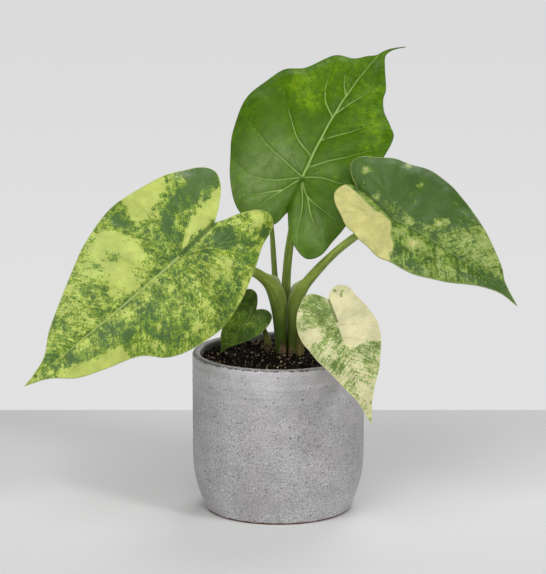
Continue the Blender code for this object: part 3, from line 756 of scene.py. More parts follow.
stalks = {
    "top_leaf_stem": {
        "route": [(7.6, 14.4, 103.5, 3.6), (7.6, 14.4, 120, 4.0), (6.6, 14.8, 140, 3.9),
                  (5.9, 15.2, 158, 3.7), (6.1, 15.8, 174, 3.4), (7.4, 17.2, 190, 3.2),
                  (9.6, 20.0, 206, 3.0), (12.6, 24.6, 223, 2.7), (15.8, 30.5, 237, 2.4),
                  (18.5, 32.8, 246.8, 2.0)],
        "sheath": 0.34,
        "wing": 0.10,
        "foot": (0.045, 0.085, 0.008),
        "middle": (0.190, 0.262, 0.040),
        "head": (0.260, 0.360, 0.058),
        "seed": 1,
    },
    "left_leaf_stem": {
        "route": [(2.5, 5.0, 103.5, 3.8), (2.5, 5.0, 121, 4.2), (2.1, 5.0, 137, 4.5),
                  (1.1, 4.6, 150, 5.1), (-0.8, 3.6, 162, 5.4), (-4.2, 1.2, 171, 4.9),
                  (-9.6, -2.4, 178, 4.1), (-17.5, -7.5, 184.6, 3.3), (-29, -15.5, 191.5, 2.9),
                  (-46, -28, 198.5, 2.7), (-61, -40, 202.3, 2.5), (-73.1, -47, 204.9, 2.2)],
        "stout": 1.12,
        "sheath": 0.50,
        "wing": 0.30,
        "foot": (0.040, 0.075, 0.006),
        "middle": (0.222, 0.300, 0.048),
        "head": (0.285, 0.380, 0.080),
        "seed": 2,
    },
    "right_leaf_stem": {
        "route": [(11.6, 5.0, 103.5, 3.8), (11.6, 5.0, 121, 4.2), (11.4, 5.0, 137, 4.2),
                  (11.7, 5.0, 151, 4.4), (13.3, 4.8, 160, 4.6), (16.6, 4.2, 168, 4.3),
                  (22.5, 3.2, 176.5, 3.6), (33.5, 1.0, 189.5, 3.1), (47, -2.0, 203, 2.8),
                  (61.5, -4.5, 214, 2.6), (75, -8, 220.5, 2.4), (84.6, -9.3, 225.0, 2.1)],
        "stout": 1.12,
        "sheath": 0.46,
        "wing": 0.30,
        "foot": (0.060, 0.090, 0.010),
        "middle": (0.210, 0.288, 0.045),
        "head": (0.275, 0.370, 0.075),
        "seed": 3,
    },
    "front_leaf_stem": {
        "route": [(16.5, -1.2, 103.5, 2.6), (16.5, -1.2, 120, 2.9), (17.3, -2.6, 130, 2.8),
                  (19.8, -8.5, 141, 2.6), (25.0, -23, 152, 2.3), (33.5, -44, 158.5, 2.0),
                  (43.1, -65.6, 158.6, 1.6)],
        "sheath": 0.35,
        "wing": 0.25,
        "foot": (0.120, 0.115, 0.030),
        "middle": (0.220, 0.270, 0.070),
        "head": (0.300, 0.370, 0.120),
        "nudge": (0.1, -0.95, 0.7),
        "seed": 4,
    },
    "small_leaf_stem": {
        "route": [(-7.6, 16.0, 103.5, 2.9), (-7.6, 16.0, 120, 3.2), (-8.0, 15.8, 126, 2.8),
                  (-9.6, 15.2, 132, 2.1), (-13.0, 13.4, 139, 1.6), (-21.0, 9.4, 145.8, 1.2)],
        "sheath": 0.35,
        "wing": 0.20,
        "foot": (0.20, 0.23, 0.05),
        "middle": (0.17, 0.25, 0.04),
        "head": (0.110, 0.190, 0.030),
        "nudge": (-0.05, -0.45, 0.2),
        "seed": 5,
    },
    "new_leaf_spear": {
        "route": [(0.6, 13.0, 103.5, 2.3), (0.6, 13.0, 120, 2.5), (-0.8, 14.6, 145, 2.5),
                  (-2.0, 16.8, 168, 2.3), (-3.2, 20.0, 187, 2.1), (-4.5, 24.5, 207, 1.8),
                  (-6.0, 31.0, 226, 1.3), (-7.4, 37.5, 241, 0.35)],
        "sheath": 0.0,
        "wing": 0.0,
        "foot": (0.050, 0.090, 0.010),
        "middle": (0.180, 0.245, 0.045),
        "head": (0.240, 0.340, 0.060),
        "seed": 6,
    },
}

stalkDetail = {
    "ringCount": 150,
    "aroundCount": 56,
    "plantMiddle": (6.0, 13.0, 0.0),     # mm, the open side of each sheath turns to it
    "thinEdge": (0.40, 0.41, 0.25),
    "earthStain": (0.16, 0.10, 0.04),
}


def makeStalk(name, stalk):
    ringCount, aroundCount = stalkDetail["ringCount"], stalkDetail["aroundCount"]
    plantMiddle = Vector(stalkDetail["plantMiddle"])
    line = smoothLine(stalk["route"], ringCount)
    spine, radius = line[:, :3], line[:, 3] * stalk.get("stout", 1.0)
    theta = np.linspace(0, 2 * math.pi, aroundCount, endpoint=False)
    fromGroove = np.minimum(theta, 2 * math.pi - theta)
    rolled = stalk["sheath"] == 0
    vertices, alongs, rounds, grooves, wings = [], [], [], [], []
    for ring in range(ringCount):
        part = ring / (ringCount - 1)
        ahead = spine[min(ring + 1, ringCount - 1)] - spine[max(ring - 1, 0)]
        ahead = Vector(ahead).normalized()
        centre = Vector(spine[ring])
        inward = (plantMiddle - Vector((centre.x, centre.y, 0))) * 0.12
        inward += Vector((0, 0, 1.6 * (1 - ahead.z) + 0.02))
        toGroove = (inward - ahead * inward.dot(ahead)).normalized()
        sideways = ahead.cross(toGroove)
        sheath = 1 - smoothStep(part, stalk["sheath"] * 0.8, stalk["sheath"] * 1.08)
        if rolled:
            # the seam of the rolled blade winds up it
            seam = np.abs((theta - 1.2 - 2.2 * part + math.pi) % (2 * math.pi) - math.pi)
            shape = 1 - 0.30 * np.exp(-(seam / 0.16) ** 2) + 0.05 * np.exp(-((seam - 0.4) / 0.3) ** 2)
            groove = np.exp(-(seam / 0.2) ** 2)
            edge = np.zeros(aroundCount)
        else:
            depth = 0.16 + 0.36 * sheath
            wide = 0.42 + 0.34 * sheath
            shape = 1 - depth * np.exp(-(fromGroove / wide) ** 2)
            wingTop = sheath * smoothStep(part, 0.10, stalk["sheath"] * 0.7)
            flare = math.exp(-((part - 0.93 * stalk["sheath"]) / 0.035) ** 2)
            wing = stalk["wing"] * (wingTop + 2.2 * flare)
            edge = wing * np.exp(-((fromGroove - 0.98) / 0.12) ** 2)
            shape = shape + edge
            groove = np.exp(-(fromGroove / wide) ** 2)
        shape = shape * (1 + 0.012 * np.cos(11 * theta) + 0.006 * np.cos(23 * theta + 1))
        shape = shape * (1 + 0.02 * math.sin(ring * 0.21 + stalk["seed"]))
        for angle, reach in zip(theta, shape):
            offset = (toGroove * math.cos(angle) + sideways * math.sin(angle)) * (radius[ring] * reach)
            vertices.append(centre + offset)
        alongs += [part] * aroundCount
        climb = part * 30 + stalk["seed"] * 9
        rounds += [(math.cos(angle) * 3.0, math.sin(angle) * 3.0, climb) for angle in theta]
        grooves += list(groove)
        wings += list(np.clip(edge * 3, 0, 1))
    faces = []
    for ring in range(ringCount - 1):
        for i in range(aroundCount):
            after = (i + 1) % aroundCount
            low, high = ring * aroundCount, (ring + 1) * aroundCount
            faces.append((low + i, low + after, high + after, high + i))
    faces.append(tuple(reversed(range(aroundCount))))
    faces.append(tuple(range((ringCount - 1) * aroundCount, ringCount * aroundCount)))
    pieceName = name.replace("_stem", "_stalk").replace("_spear", "_rolled")
    piece = meshObject(pieceName, np.array(vertices) * mm, faces)
    addNumbers(piece, "along", alongs)
    addNumbers(piece, "groove", grooves)
    addNumbers(piece, "wing", wings)
    addVectors(piece, "round", rounds)
    piece.data.materials.append(stalkFinish(name, stalk))
    return piece


def stalkFinish(name, stalk):
    finish, tree, shader = newFinish(name + "_skin")
    along = attribute(tree, "along")
    around = attribute(tree, "round", "Vector")
    place = placeOn(tree)
    climb = addNode(tree, "ShaderNodeSeparateXYZ", {0: place}).outputs["Z"]
    colour = blend(tree, remap(tree, climb, 0.132, 0.186), stalk["foot"], stalk["middle"])
    colour = blend(tree, remap(tree, along, 0.45, 0.95), colour, stalk["head"])
    fibres = noise(tree, scaled(tree, around, (2.6, 2.6, 0.16)), 1.0, 4.0, 0.6)
    streak = remap(tree, fibres, 0.30, 0.72, 0.84, 1.16)
    blotches = noise(tree, scaled(tree, around, (0.5, 0.5, 0.5)), 1.0, 5.0, 0.65)
    patchy = remap(tree, blotches, 0.35, 0.70, 0.85, 1.25)
    tone = times(tree, streak, patchy)
    # painted shade: each stalk is darker in its channel, and the rolled leaf along its seam
    tone = times(tree, tone, remap(tree, attribute(tree, "groove"), 0.0, 1.0, 1.0, 0.70))
    colour = toned(tree, colour, tone)
    skinEdge = times(tree, attribute(tree, "wing"), 0.55)
    colour = blend(tree, skinEdge, colour, stalkDetail["thinEdge"])
    earthy = times(tree, remap(tree, climb, 0.118, 0.132, 1.0, 0.0), remap(tree, blotches, 0.40, 0.62))
    colour = blend(tree, times(tree, earthy, 0.7), colour, stalkDetail["earthStain"])
    tree.links.new(colour, shader.inputs["Base Color"])
    tree.links.new(remap(tree, fibres, 0.3, 0.7, 0.36, 0.50), shader.inputs["Roughness"])
    tree.links.new(bump(tree, fibres, 0.00025, 0.6), shader.inputs["Normal"])
    shader.inputs["Specular IOR Level"].default_value = 0.22
    shader.inputs["Subsurface Weight"].default_value = 0.08
    shader.inputs["Subsurface Scale"].default_value = 0.002
    shader.inputs["Subsurface Radius"].default_value = (0.8, 1.0, 0.2)
    return finish


for name, stalk in stalks.items():
    stalkPiece = makeStalk(name, stalk)
    seatOn(stalkPiece, name)
    stalkPiece.location += Vector(stalk.get("nudge", (0, 0, 0))) * mm
    standFor(stalkPiece, name)
print("stage 3: stalks made")


# the pot

pot = {
    "wall": 6.0,             # mm
    "footRadius": 54.5,      # mm
    "footCurve": 45.0,       # mm, height over which the wall draws in
    "floor": 8.0,
    "innerCorner": 10.0,
    "throwingRings": 0.10,   # mm, depth of the faint turning marks
    "around": 288,           # points round the pot
    "glaze": (0.412, 0.388, 0.406),
    "glazeCool": (0.388, 0.390, 0.390),
    "glazeLight": (0.66, 0.655, 0.665),
    "glazeDark": (0.140, 0.130, 0.140),
    "iron": (0.030, 0.022, 0.020),
    "bareClay": (0.170, 0.100, 0.068),
    # the next colour is painted shade on the inner wall
    "innerWallShade": (0.085, 0.070, 0.060),
    "wornRim": (0.16, 0.135, 0.12),
}


def makePot():
    low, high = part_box("stoneware_pot")
    outer = (high.x - low.x) / 2 / mm
    top = (high.z - low.z) / mm
    lip = pot["wall"] / 2
    inner = outer - pot["wall"]
    corner = pot["innerCorner"]
    profile = [(inner - corner, pot["floor"])]
    for step in range(1, 13):
        turn = math.pi / 2 * step / 12
        height = pot["floor"] + corner - corner * math.cos(turn)
        profile.append((inner - corner + corner * math.sin(turn), height))
    for height in np.linspace(pot["floor"] + corner, top - lip, 14)[1:-1]:
        profile.append((inner, height))
    for step in range(17):
        turn = math.pi * step / 16
        profile.append((outer - lip - lip * math.cos(turn), top - lip + lip * math.sin(turn) * 0.96))
    for height in np.linspace(top - lip, 0.9, 120)[1:]:
        below = max(0.0, 1 - height / pot["footCurve"])
        radius = outer - (outer - pot["footRadius"]) * below ** 2.1
        marks = math.sin(height * 1.9) + 0.6 * math.sin(height * 0.83 + 1) + 0.5 * math.sin(height * 4.1)
        markDepth = pot["throwingRings"] * (0.4 + 0.6 * smoothStep(height, 60, 115))
        profile.append((radius + markDepth * marks, height))
    for inset, height in ((0.1, 0.35), (0.8, 0.0), (8.0, 0.0)):
        profile.append((pot["footRadius"] - inset, height))
    steps = pot["around"]
    turns = np.linspace(0, 2 * math.pi, steps, endpoint=False)
    vertices = [(0, 0, pot["floor"])]
    for radius, height in profile:
        wobble = 0.12 * np.sin(2 * turns + 0.7 + height * 0.01) + 0.06 * np.sin(5 * turns + height * 0.03)
        reach = radius + wobble * smoothStep(height, 2, 30)
        vertices += list(zip(reach * np.cos(turns), reach * np.sin(turns), np.full(steps, height)))
    vertices.append((0, 0, 0.0))
    faces = []
    for i in range(steps):
        after = (i + 1) % steps
        faces.append((0, 1 + i, 1 + after))
        for ring in range(len(profile) - 1):
            lowRing, highRing = 1 + ring * steps, 1 + (ring + 1) * steps
            faces.append((lowRing + i, highRing + i, highRing + after, lowRing + after))
        lastRing = 1 + (len(profile) - 1) * steps
        faces.append((len(vertices) - 1, lastRing + after, lastRing + i))
    piece = meshObject("stoneware_pot_body", np.array(vertices) * mm, faces)
    seatOn(piece, "stoneware_pot")
    piece.data.materials.append(potFinish())
    standFor(piece, "stoneware_pot")
    return piece


def potFinish():
    finish, tree, shader = newFinish("speckled_stoneware")
    place = placeOn(tree)
    height = addNode(tree, "ShaderNodeSeparateXYZ", {0: place}).outputs["Z"]
    level = scaled(tree, place, (1.0, 1.0, 0.0))
    spread = addNode(tree, "ShaderNodeVectorMath", {0: level}, operation="LENGTH").outputs["Value"]
    clouds = noise(tree, place, 32.0, 4.0, 0.6)
    peel = noise(tree, place, 960.0, 3.0, 0.66)
    grit = noise(tree, place, 620.0, 3.0, 0.62)
    bands = noise(tree, scaled(tree, place, (9.0, 9.0, 330.0)), 1.0, 4.0, 0.65)
    upper = remap(tree, height, 0.078, 0.110)
    lower = remap(tree, height, 0.004, 0.026, 1.0, 0.0)
    colour = blend(tree, remap(tree, clouds, 0.38, 0.62), pot["glaze"], pot["glazeCool"])
    rubbed = remap(tree, sums(tree, "MULTIPLY_ADD", clouds, 0.5, grit), 0.66, 0.90, 0.15, 0.95)
    lightFlecks = times(tree, remap(tree, peel, 0.52, 0.64), rubbed)
    colour = blend(tree, times(tree, lightFlecks, 0.95), colour, pot["glazeLight"])
    colour = blend(tree, remap(tree, peel, 0.36, 0.47, 0.85, 0.0), colour, pot["glazeDark"])
    # painted highlight: the upper zone of the wall is lightened towards the pale glaze
    colour = blend(tree, times(tree, upper, 0.28), colour, pot["glazeLight"])
    # smoother, paler bands where the wall was turned near the top, and a cloudy foot whose pale band is
    # partly the glaze and partly a painted highlight
    bandPart = times(tree, remap(tree, bands, 0.44, 0.70, 0.0, 0.30), upper)
    colour = blend(tree, bandPart, colour, pot["glazeLight"])
    darkBand = times(tree, remap(tree, bands, 0.28, 0.44, 0.22, 0.0), upper)
    colour = blend(tree, darkBand, colour, pot["glazeDark"])
    footCloud = times(tree, lower, remap(tree, grit, 0.42, 0.62, 0.05, 0.65))
    colour = blend(tree, footCloud, colour, pot["glazeLight"])
    broad = noise(tree, scaled(tree, place, (1.0, 1.0, 1.6)), 17.0, 4.0, 0.6)
    shadeCloud = remap(tree, broad, 0.32, 0.68, 0.90, 1.07)
    fineCloud = remap(tree, noise(tree, place, 75.0, 4.0, 0.65), 0.30, 0.70, 0.93, 1.07)
    tone = times(tree, shadeCloud, fineCloud)
    colour = toned(tree, colour, tone)
    # sparse iron pinholes in two sizes
    pits = addNode(tree, "ShaderNodeTexVoronoi", {"Vector": place, "Scale": 330.0, "Randomness": 1.0})
    pick = addNode(tree, "ShaderNodeSeparateColor", {0: pits.outputs["Color"]}).outputs[0]
    pitSpot = remap(tree, pits.outputs["Distance"], 0.12, 0.26, 1.0, 0.0)
    pit = times(tree, pitSpot, remap(tree, pick, 0.83, 0.84))
    largePits = addNode(tree, "ShaderNodeTexVoronoi", {"Vector": place, "Scale": 120.0, "Randomness": 1.0})
    largePick = addNode(tree, "ShaderNodeSeparateColor", {0: largePits.outputs["Color"]}).outputs[1]
    largeSpot = remap(tree, largePits.outputs["Distance"], 0.05, 0.10, 1.0, 0.0)
    largePit = times(tree, largeSpot, remap(tree, largePick, 0.72, 0.74))
    allPits = sums(tree, "MAXIMUM", pit, largePit)
    colour = blend(tree, times(tree, allPits, 0.85), colour, pot["iron"])
    # painted shade darkening the inner wall, broken dark line on the shoulder of the lip, bare clay at the
    # foot
    innerWall = remap(tree, spread, 0.0592, 0.0602, 1.0, 0.0)
    inside = times(tree, innerWall, remap(tree, height, 0.07, 0.09))
    colour = blend(tree, times(tree, inside, 0.75), colour, pot["innerWallShade"])
    ragged = sums(tree, "MULTIPLY_ADD", noise(tree, place, 190.0, 4.0, 0.7), 0.0030, height)
    lineOver = remap(tree, ragged, 0.1215, 0.1221)
    lineUnder = remap(tree, ragged, 0.1227, 0.1233, 1.0, 0.0)
    ironLine = times(tree, times(tree, lineOver, lineUnder), remap(tree, spread, 0.0630, 0.0637))
    broken = remap(tree, noise(tree, place, 220.0, 4.0, 0.65), 0.38, 0.58, 0.20, 0.92)
    colour = blend(tree, times(tree, ironLine, broken), colour, pot["iron"])
    rimPart = times(tree, remap(tree, height, 0.1208, 0.1216), remap(tree, grit, 0.40, 0.58, 0.35, 0.80))
    colour = blend(tree, rimPart, colour, pot["wornRim"])
    footEdge = sums(tree, "MULTIPLY_ADD", noise(tree, place, 130.0, 3.0, 0.6), 0.0022, height)
    footPart = remap(tree, footEdge, 0.0022, 0.0030, 1.0, 0.0)
    colour = blend(tree, footPart, colour, pot["bareClay"])
    tree.links.new(colour, shader.inputs["Base Color"])
    rough = remap(tree, peel, 0.3, 0.7, 0.46, 0.62)
    rough = sums(tree, "SUBTRACT", rough, times(tree, upper, 0.10))
    rough = sums(tree, "MAXIMUM", rough, times(tree, footPart, 0.9))
    tree.links.new(rough, shader.inputs["Roughness"])
    relief = sums(tree, "SUBTRACT", peel, times(tree, allPits, 1.3))
    fine = bump(tree, relief, 0.00020, 0.8)
    tree.links.new(bump(tree, bands, 0.00015, 0.35, fine), shader.inputs["Normal"])
    shader.inputs["Specular IOR Level"].default_value = 0.40
    return finish


potPiece = makePot()
print("stage 4: pot made,", len(potPiece.data.polygons), "faces")


# soil: an uneven mound, dark crumbs and pale grit

soil = {
    "mound": 3.0,            # mm, how much higher the middle is
    "crumbs": 2600,
    "crumbSize": (0.7, 2.1),
    "grit": 420,
    "gritSize": (0.7, 2.2),
    "seed": 8,
    "earth": ((0.003, 0.002, 0.001), (0.010, 0.007, 0.004), (0.018, 0.012, 0.007)),
    "peat": ((0.002, 0.0015, 0.001), (0.009, 0.006, 0.003)),
    "barkChip": (0.055, 0.035, 0.018),
    "peatHollow": (0.005, 0.0035, 0.002),
    "pumice": ((0.16, 0.11, 0.055), (0.33, 0.24, 0.13), (0.40, 0.29, 0.20), (0.55, 0.46, 0.36)),
    "pumicePore": (0.05, 0.032, 0.018),
}


def soilHeight(x, y, reach, edgeHeight):
    radius = np.minimum(1.0, np.hypot(x, y) / reach)
    return edgeHeight + soil["mound"] * np.cos(math.pi / 2 * radius)


def makeSoilBed(reach, edgeHeight, bottom):
    rings, steps = 60, 200
    turns = np.linspace(0, 2 * math.pi, steps, endpoint=False)
    vertices = [(0, 0, edgeHeight + soil["mound"])]
    for ring in range(1, rings + 1):
        radius = reach * ring / rings
        x, y = radius * np.cos(turns), radius * np.sin(turns)
        rough = 0.55 * ripple(x, y, 7, 5) + 0.35 * ripple(x, y, 3, 6)
        vertices += list(zip(x, y, soilHeight(x, y, reach, edgeHeight) + rough - 0.4))
    corner = pot["innerCorner"]
    for step in range(8):
        turn = math.pi / 2 * (1 - step / 7)
        radius = reach - corner + corner * math.sin(turn)
        height = bottom + corner - corner * math.cos(turn)
        vertices += [(radius * math.cos(t), radius * math.sin(t), height) for t in turns]
    vertices.append((0, 0, bottom))
    total = rings + 8
    faces = []
    for i in range(steps):
        after = (i + 1) % steps
        faces.append((0, 1 + i, 1 + after))
        for ring in range(total - 1):
            low, high = 1 + ring * steps, 1 + (ring + 1) * steps
            faces.append((low + i, high + i, high + after, low + after))
        last = 1 + (total - 1) * steps
        faces.append((len(vertices) - 1, last + after, last + i))
    return meshObject("soil_bed", np.array(vertices) * mm, faces)


def pebbleShape(detail, rng):
    # a lumpy stone about one unit across
    body = bmesh.new()
    bmesh.ops.create_icosphere(body, subdivisions=detail, radius=0.5)
    stretch = Vector((rng.uniform(0.75, 1.25), rng.uniform(0.7, 1.1), rng.uniform(0.6, 0.95)))
    pulls = []
    for _ in range(7):
        direction = Vector([rng.uniform(-1, 1) for _ in range(3)]).normalized()
        pulls.append((direction, rng.uniform(-0.16, 0.20)))
    for vertex in body.verts:
        way = vertex.co.normalized()
        grow = 1.0
        for direction, amount in pulls:
            grow += amount * max(0.0, way.dot(direction)) ** 3
        vertex.co = Vector(a * b for a, b in zip(vertex.co * grow, stretch))
    body.verts.index_update()
    points = np.array([vertex.co[:] for vertex in body.verts])
    faces = [tuple(vertex.index for vertex in face.verts) for face in body.faces]
    body.free()
    return points, faces


def scatterStones(name, count, sizes, detail, sink, reach, edgeHeight, rng):
    shapes = [pebbleShape(detail, rng) for _ in range(9)]
    feet = [stalk["route"][1] for stalk in stalks.values()]
    vertices, faces, tones = [], [], []
    total = 0
    placed = 0
    while placed < count:
        radius = reach * math.sqrt(rng.random())
        turn = rng.uniform(0, 2 * math.pi)
        x, y = radius * math.cos(turn), radius * math.sin(turn)
        size = sizes[0] + (sizes[1] - sizes[0]) * rng.random() ** 2.2
        if radius > reach - size * 0.6:
            continue
        if any(math.hypot(x - footX, y - footY) < girth + size * 0.35 for footX, footY, _, girth in feet):
            continue
        points, shapeFaces = shapes[placed % len(shapes)]
        spin = Euler((rng.uniform(0, 6.28), rng.uniform(0, 6.28), rng.uniform(0, 6.28))).to_matrix()
        ground = float(soilHeight(np.array([x]), np.array([y]), reach, edgeHeight)[0])
        z = ground + size * sink + rng.uniform(-0.3, 0.3)
        moved = points @ np.array(spin).T * size + np.array([x, y, z])
        vertices.append(moved)
        faces += [tuple(index + total for index in face) for face in shapeFaces]
        tones += [rng.random()] * len(moved)
        total += len(moved)
        placed += 1
    piece = meshObject(name, np.vstack(vertices) * mm, faces, smooth=detail > 1)
    addNumbers(piece, "tone", tones)
    return piece


def earthFinish():
    finish, tree, shader = newFinish("dark_potting_soil")
    place = placeOn(tree)
    lumps = noise(tree, place, 420.0, 6.0, 0.7)
    tint = noise(tree, place, 140.0, 4.0, 0.6)
    dark, middle, dusty = soil["earth"]
    colour = blend(tree, remap(tree, lumps, 0.3, 0.7), dark, middle)
    colour = blend(tree, remap(tree, tint, 0.50, 0.75, 0.0, 0.6), colour, dusty)
    tree.links.new(colour, shader.inputs["Base Color"])
    shader.inputs["Roughness"].default_value = 0.92
    tree.links.new(bump(tree, lumps, 0.0006, 0.9), shader.inputs["Normal"])
    shader.inputs["Specular IOR Level"].default_value = 0.12
    return finish


def crumbFinish():
    finish, tree, shader = newFinish("bark_and_peat_crumbs")
    place = placeOn(tree)
    tone = attribute(tree, "tone")
    lumps = noise(tree, place, 700.0, 4.0, 0.7)
    colour = blend(tree, remap(tree, tone, 0.0, 0.7), *soil["peat"])
    colour = blend(tree, remap(tree, tone, 0.86, 1.0), colour, soil["barkChip"])
    colour = blend(tree, remap(tree, lumps, 0.35, 0.65, 0.0, 0.55), colour, soil["peatHollow"])
    tree.links.new(colour, shader.inputs["Base Color"])
    shader.inputs["Roughness"].default_value = 0.9
    tree.links.new(bump(tree, lumps, 0.0004, 0.9), shader.inputs["Normal"])
    shader.inputs["Specular IOR Level"].default_value = 0.12
    return finish


def gritFinish():
    finish, tree, shader = newFinish("pale_pumice_grit")
    place = placeOn(tree)
    tone = attribute(tree, "tone")
    pores = noise(tree, place, 1500.0, 4.0, 0.7)
    brown, tan, rosy, pale = soil["pumice"]
    colour = blend(tree, remap(tree, tone, 0.0, 0.45), brown, tan)
    colour = blend(tree, remap(tree, tone, 0.45, 0.80), colour, rosy)
    colour = blend(tree, remap(tree, tone, 0.88, 1.0), colour, pale)
    colour = blend(tree, remap(tree, pores, 0.50, 0.68, 0.0, 0.7), colour, soil["pumicePore"])
    tree.links.new(colour, shader.inputs["Base Color"])
    shader.inputs["Roughness"].default_value = 0.88
    tree.links.new(bump(tree, pores, 0.0003, 0.9), shader.inputs["Normal"])
    shader.inputs["Specular IOR Level"].default_value = 0.12
    return finish


def makeSoil():
    low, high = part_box("potting_soil")
    reach = (high.x - low.x) / 2 / mm
    edgeHeight = high.z / mm - soil["mound"]
    rng = random.Random(soil["seed"])
    bed = makeSoilBed(reach, edgeHeight, low.z / mm)
    bed.data.materials.append(earthFinish())
    standFor(bed, "potting_soil")
    crumbs = scatterStones("soil_crumbs", soil["crumbs"], soil["crumbSize"], 1, 0.10, reach, edgeHeight, rng)
    crumbs.data.materials.append(crumbFinish())
    grit = scatterStones("soil_grit", soil["grit"], soil["gritSize"], 2, 0.22, reach, edgeHeight, rng)
    grit.data.materials.append(gritFinish())
    for piece in (crumbs, grit):
        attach(piece, "root")
    return bed


makeSoil()
print("stage 5: soil, crumbs and grit made")


# dry scales at the foot of the stalks ("arc" in degrees, "edge" in millimetres), and the hidden crown

scales = {
    "dry_scale_left": {"arc": (-112, -50), "edge": 5.6, "seed": 1},
    "dry_scale_right": {"arc": (-138, -78), "edge": 5.4, "seed": 2},
    "dry_scale_back": {"arc": (-150, -60), "edge": 4.2, "seed": 3},
}

bark = {
    "sheathLight": (0.20, 0.135, 0.060),
    "sheathDark": (0.055, 0.034, 0.014),
    "crownLight": (0.20, 0.13, 0.07),
    "crownDark": (0.08, 0.05, 0.03),
}


def barkFinish(name, light, dark):
    finish, tree, shader = newFinish(name)
    place = placeOn(tree)
    fibres = noise(tree, scaled(tree, place, (1400.0, 1400.0, 160.0)), 1.0, 4.0, 0.65)
    stain = noise(tree, place, 240.0, 4.0, 0.6)
    colour = blend(tree, remap(tree, fibres, 0.35, 0.65), dark, light)
    colour = blend(tree, remap(tree, stain, 0.48, 0.70, 0.0, 0.7), colour, tuple(0.5 * c for c in dark))
    tree.links.new(colour, shader.inputs["Base Color"])
    shader.inputs["Roughness"].default_value = 0.78
    tree.links.new(bump(tree, fibres, 0.0003, 0.8), shader.inputs["Normal"])
    return finish


def makeScale(name, scale, finish):
    low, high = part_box(name)
    columns, rows = 26, 34
    start, end = [math.radians(angle) for angle in scale["arc"]]
    middle = (start + end) / 2
    tall = (high.z - low.z) / mm
    rng = random.Random(scale["seed"])
    tear = [rng.uniform(-0.10, 0.04) for _ in range(columns + 1)]
    inner, outer = [], []
    for row in range(rows + 1):
        up = row / rows
        width = (end - start) * math.sqrt(1 - 0.93 * up ** 2)
        for column in range(columns + 1):
            across = column / columns - 0.5
            angle = middle + width * across
            curl = 0.5 * up ** 3 * abs(across) * 2 + 0.12 * math.sin(column * 0.9 + row * 0.3)
            z = tall * up * (1 + tear[column] * up) - 0.5 * tall * 0.1 * abs(across) * up
            for layer, thickness in ((inner, 0.0), (outer, 0.28)):
                reach = scale["edge"] + 0.12 + curl * 0.5 + thickness
                layer.append((reach * math.cos(angle), reach * math.sin(angle), z))
    count = len(inner)
    faces = []
    wide = columns + 1
    for row in range(rows):
        for column in range(columns):
            a = row * wide + column
            faces.append((count + a, count + a + 1, count + a + wide + 1, count + a + wide))
            faces.append((a, a + wide, a + wide + 1, a + 1))
    rim = list(range(columns))
    rim += [row * wide + columns for row in range(rows)]
    rim += [rows * wide + column for column in range(columns, 0, -1)]
    rim += [row * wide for row in range(rows, 0, -1)]
    for here, there in zip(rim, rim[1:] + rim[:1]):
        faces.append((here, there, count + there, count + here))
    piece = meshObject(name.replace("dry_scale", "dry_sheath"), np.array(inner + outer) * mm, faces)
    seatOn(piece, name)
    piece.data.materials.append(finish)
    standFor(piece, name)


dryFinish = barkFinish("dry_sheath_paper", bark["sheathLight"], bark["sheathDark"])
for name, scale in scales.items():
    makeScale(name, scale, dryFinish)
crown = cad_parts["root_crown"]
crown.data.materials.clear()
crown.data.materials.append(barkFinish("crown_bark", bark["crownLight"], bark["crownDark"]))
print("stage 6: dry sheaths and crown finished")


# floor, light and camera

studio = {
    "floorTone": (0.665, 0.665, 0.665),
    "floorMiddle": (0.715, 0.715, 0.715),
    "floorFar": (0.632, 0.632, 0.632),
    "floorGrain": (0.5, 0.5, 0.5),
    "floorBack": 0.296,      # metres behind the pot's middle where the table ends
    "floorReach": 1.6,
    "wallHigh": (0.706, 0.707, 0.708),
    "wallLow": (0.755, 0.757, 0.756),
    "ceiling": (0.34, 0.34, 0.34),
    "sides": (0.12, 0.12, 0.12),
    "aim": (0, 0, 0.15),
    "lights": {
        "key_light": {"place": (-0.55, -1.55, 1.95), "size": 2.2, "power": 38.0},
        "fill_light": {"place": (1.9, -1.75, 2.1), "size": 0.7, "power": 31.0},
        "back_light": {"place": (0.4, 1.2, 1.4), "size": 1.0, "power": 9.0},
    },
}

view = {
    "distance": 3.0,         # metres
    "elevation": 12.5,       # degrees above level
    "aimHeight": 0.1712,
    "aimSide": -0.004,
    "lens": 248.9,           # mm on a 36 mm frame
}


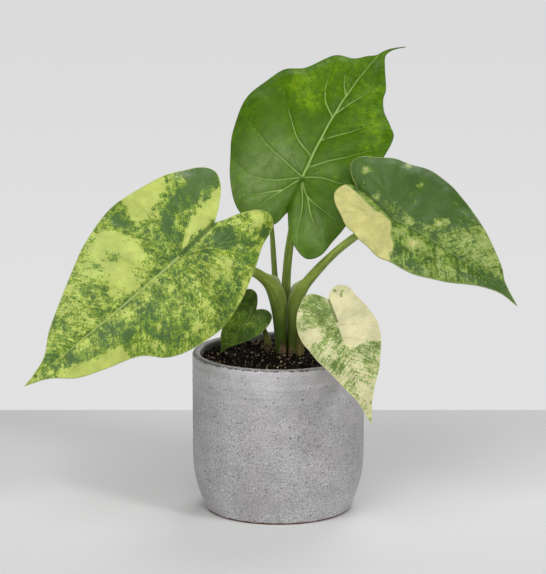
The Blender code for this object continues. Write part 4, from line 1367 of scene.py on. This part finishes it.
def makeFloor():
    reach, back = studio["floorReach"], studio["floorBack"]
    body = bmesh.new()
    bmesh.ops.create_cube(body, size=1.0)
    bmesh.ops.scale(body, vec=(2 * reach, reach + back, 0.03), verts=body.verts)
    bmesh.ops.translate(body, vec=(0, (back - reach) / 2, -0.015), verts=body.verts)
    mesh = bpy.data.meshes.new("table_top")
    body.to_mesh(mesh)
    body.free()
    table = bpy.data.objects.new("table_top", mesh)
    scene.collection.objects.link(table)
    finish, tree, shader = newFinish("pale_matt_top")
    place = placeOn(tree)
    grain = noise(tree, place, 300.0, 3.0, 0.6)
    depth = addNode(tree, "ShaderNodeSeparateXYZ", {0: place}).outputs["Y"]
    # painted light and shade: the top is lighter around the pot, offsetting the plant's shadow, and darker
    # towards the front and the back, following how the light falls
    colour = blend(tree, remap(tree, depth, -0.20, 0.02), studio["floorTone"], studio["floorMiddle"])
    colour = blend(tree, remap(tree, depth, 0.02, 0.29), colour, studio["floorFar"])
    colour = blend(tree, remap(tree, grain, 0.35, 0.65, 0.0, 0.06), colour, studio["floorGrain"])
    tree.links.new(colour, shader.inputs["Base Color"])
    shader.inputs["Roughness"].default_value = 0.7
    table.data.materials.append(finish)


def softLight(name, light):
    data = bpy.data.lights.new(name, "AREA")
    data.shape = "DISK"
    data.size = light["size"]
    data.energy = light["power"]
    lamp = bpy.data.objects.new(name, data)
    lamp.location = light["place"]
    lamp.rotation_euler = (Vector(studio["aim"]) - Vector(light["place"])).to_track_quat("-Z", "Y").to_euler()
    scene.collection.objects.link(lamp)


def makeStudio():
    world = bpy.data.worlds.new("pale_studio")
    scene.world = world
    world.use_nodes = True
    background = world.node_tree.nodes["Background"]
    tree = world.node_tree
    way = addNode(tree, "ShaderNodeTexCoord").outputs["Generated"]
    parts = addNode(tree, "ShaderNodeSeparateXYZ", {0: way}).outputs
    wall = blend(tree, remap(tree, parts["Z"], -0.23, -0.14), studio["wallLow"], studio["wallHigh"])
    aside = sums(tree, "ABSOLUTE", parts["X"])
    above = blend(tree, remap(tree, aside, 0.35, 0.85), studio["ceiling"], studio["sides"])
    tree.links.new(blend(tree, remap(tree, parts["Z"], 0.05, 0.28), wall, above), background.inputs["Color"])
    for name, light in studio["lights"].items():
        softLight(name, light)
    scene.view_settings.view_transform = "Standard"


def makeCamera():
    low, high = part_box("stoneware_pot")
    middle = (low + high) / 2
    aim = Vector((middle.x + view["aimSide"], middle.y, low.z + view["aimHeight"]))
    tilt = math.radians(view["elevation"])
    away = Vector((0, -math.cos(tilt), math.sin(tilt)))
    data = bpy.data.cameras.new("studio_camera")
    data.lens = view["lens"]
    data.sensor_width = 36
    data.clip_end = 50
    camera = bpy.data.objects.new("studio_camera", data)
    camera.location = aim + away * view["distance"]
    camera.rotation_euler = (-away).to_track_quat("-Z", "Y").to_euler()
    scene.collection.objects.link(camera)
    scene.camera = camera


makeFloor()
makeStudio()
makeCamera()
print("stage 7: floor, light and camera set")
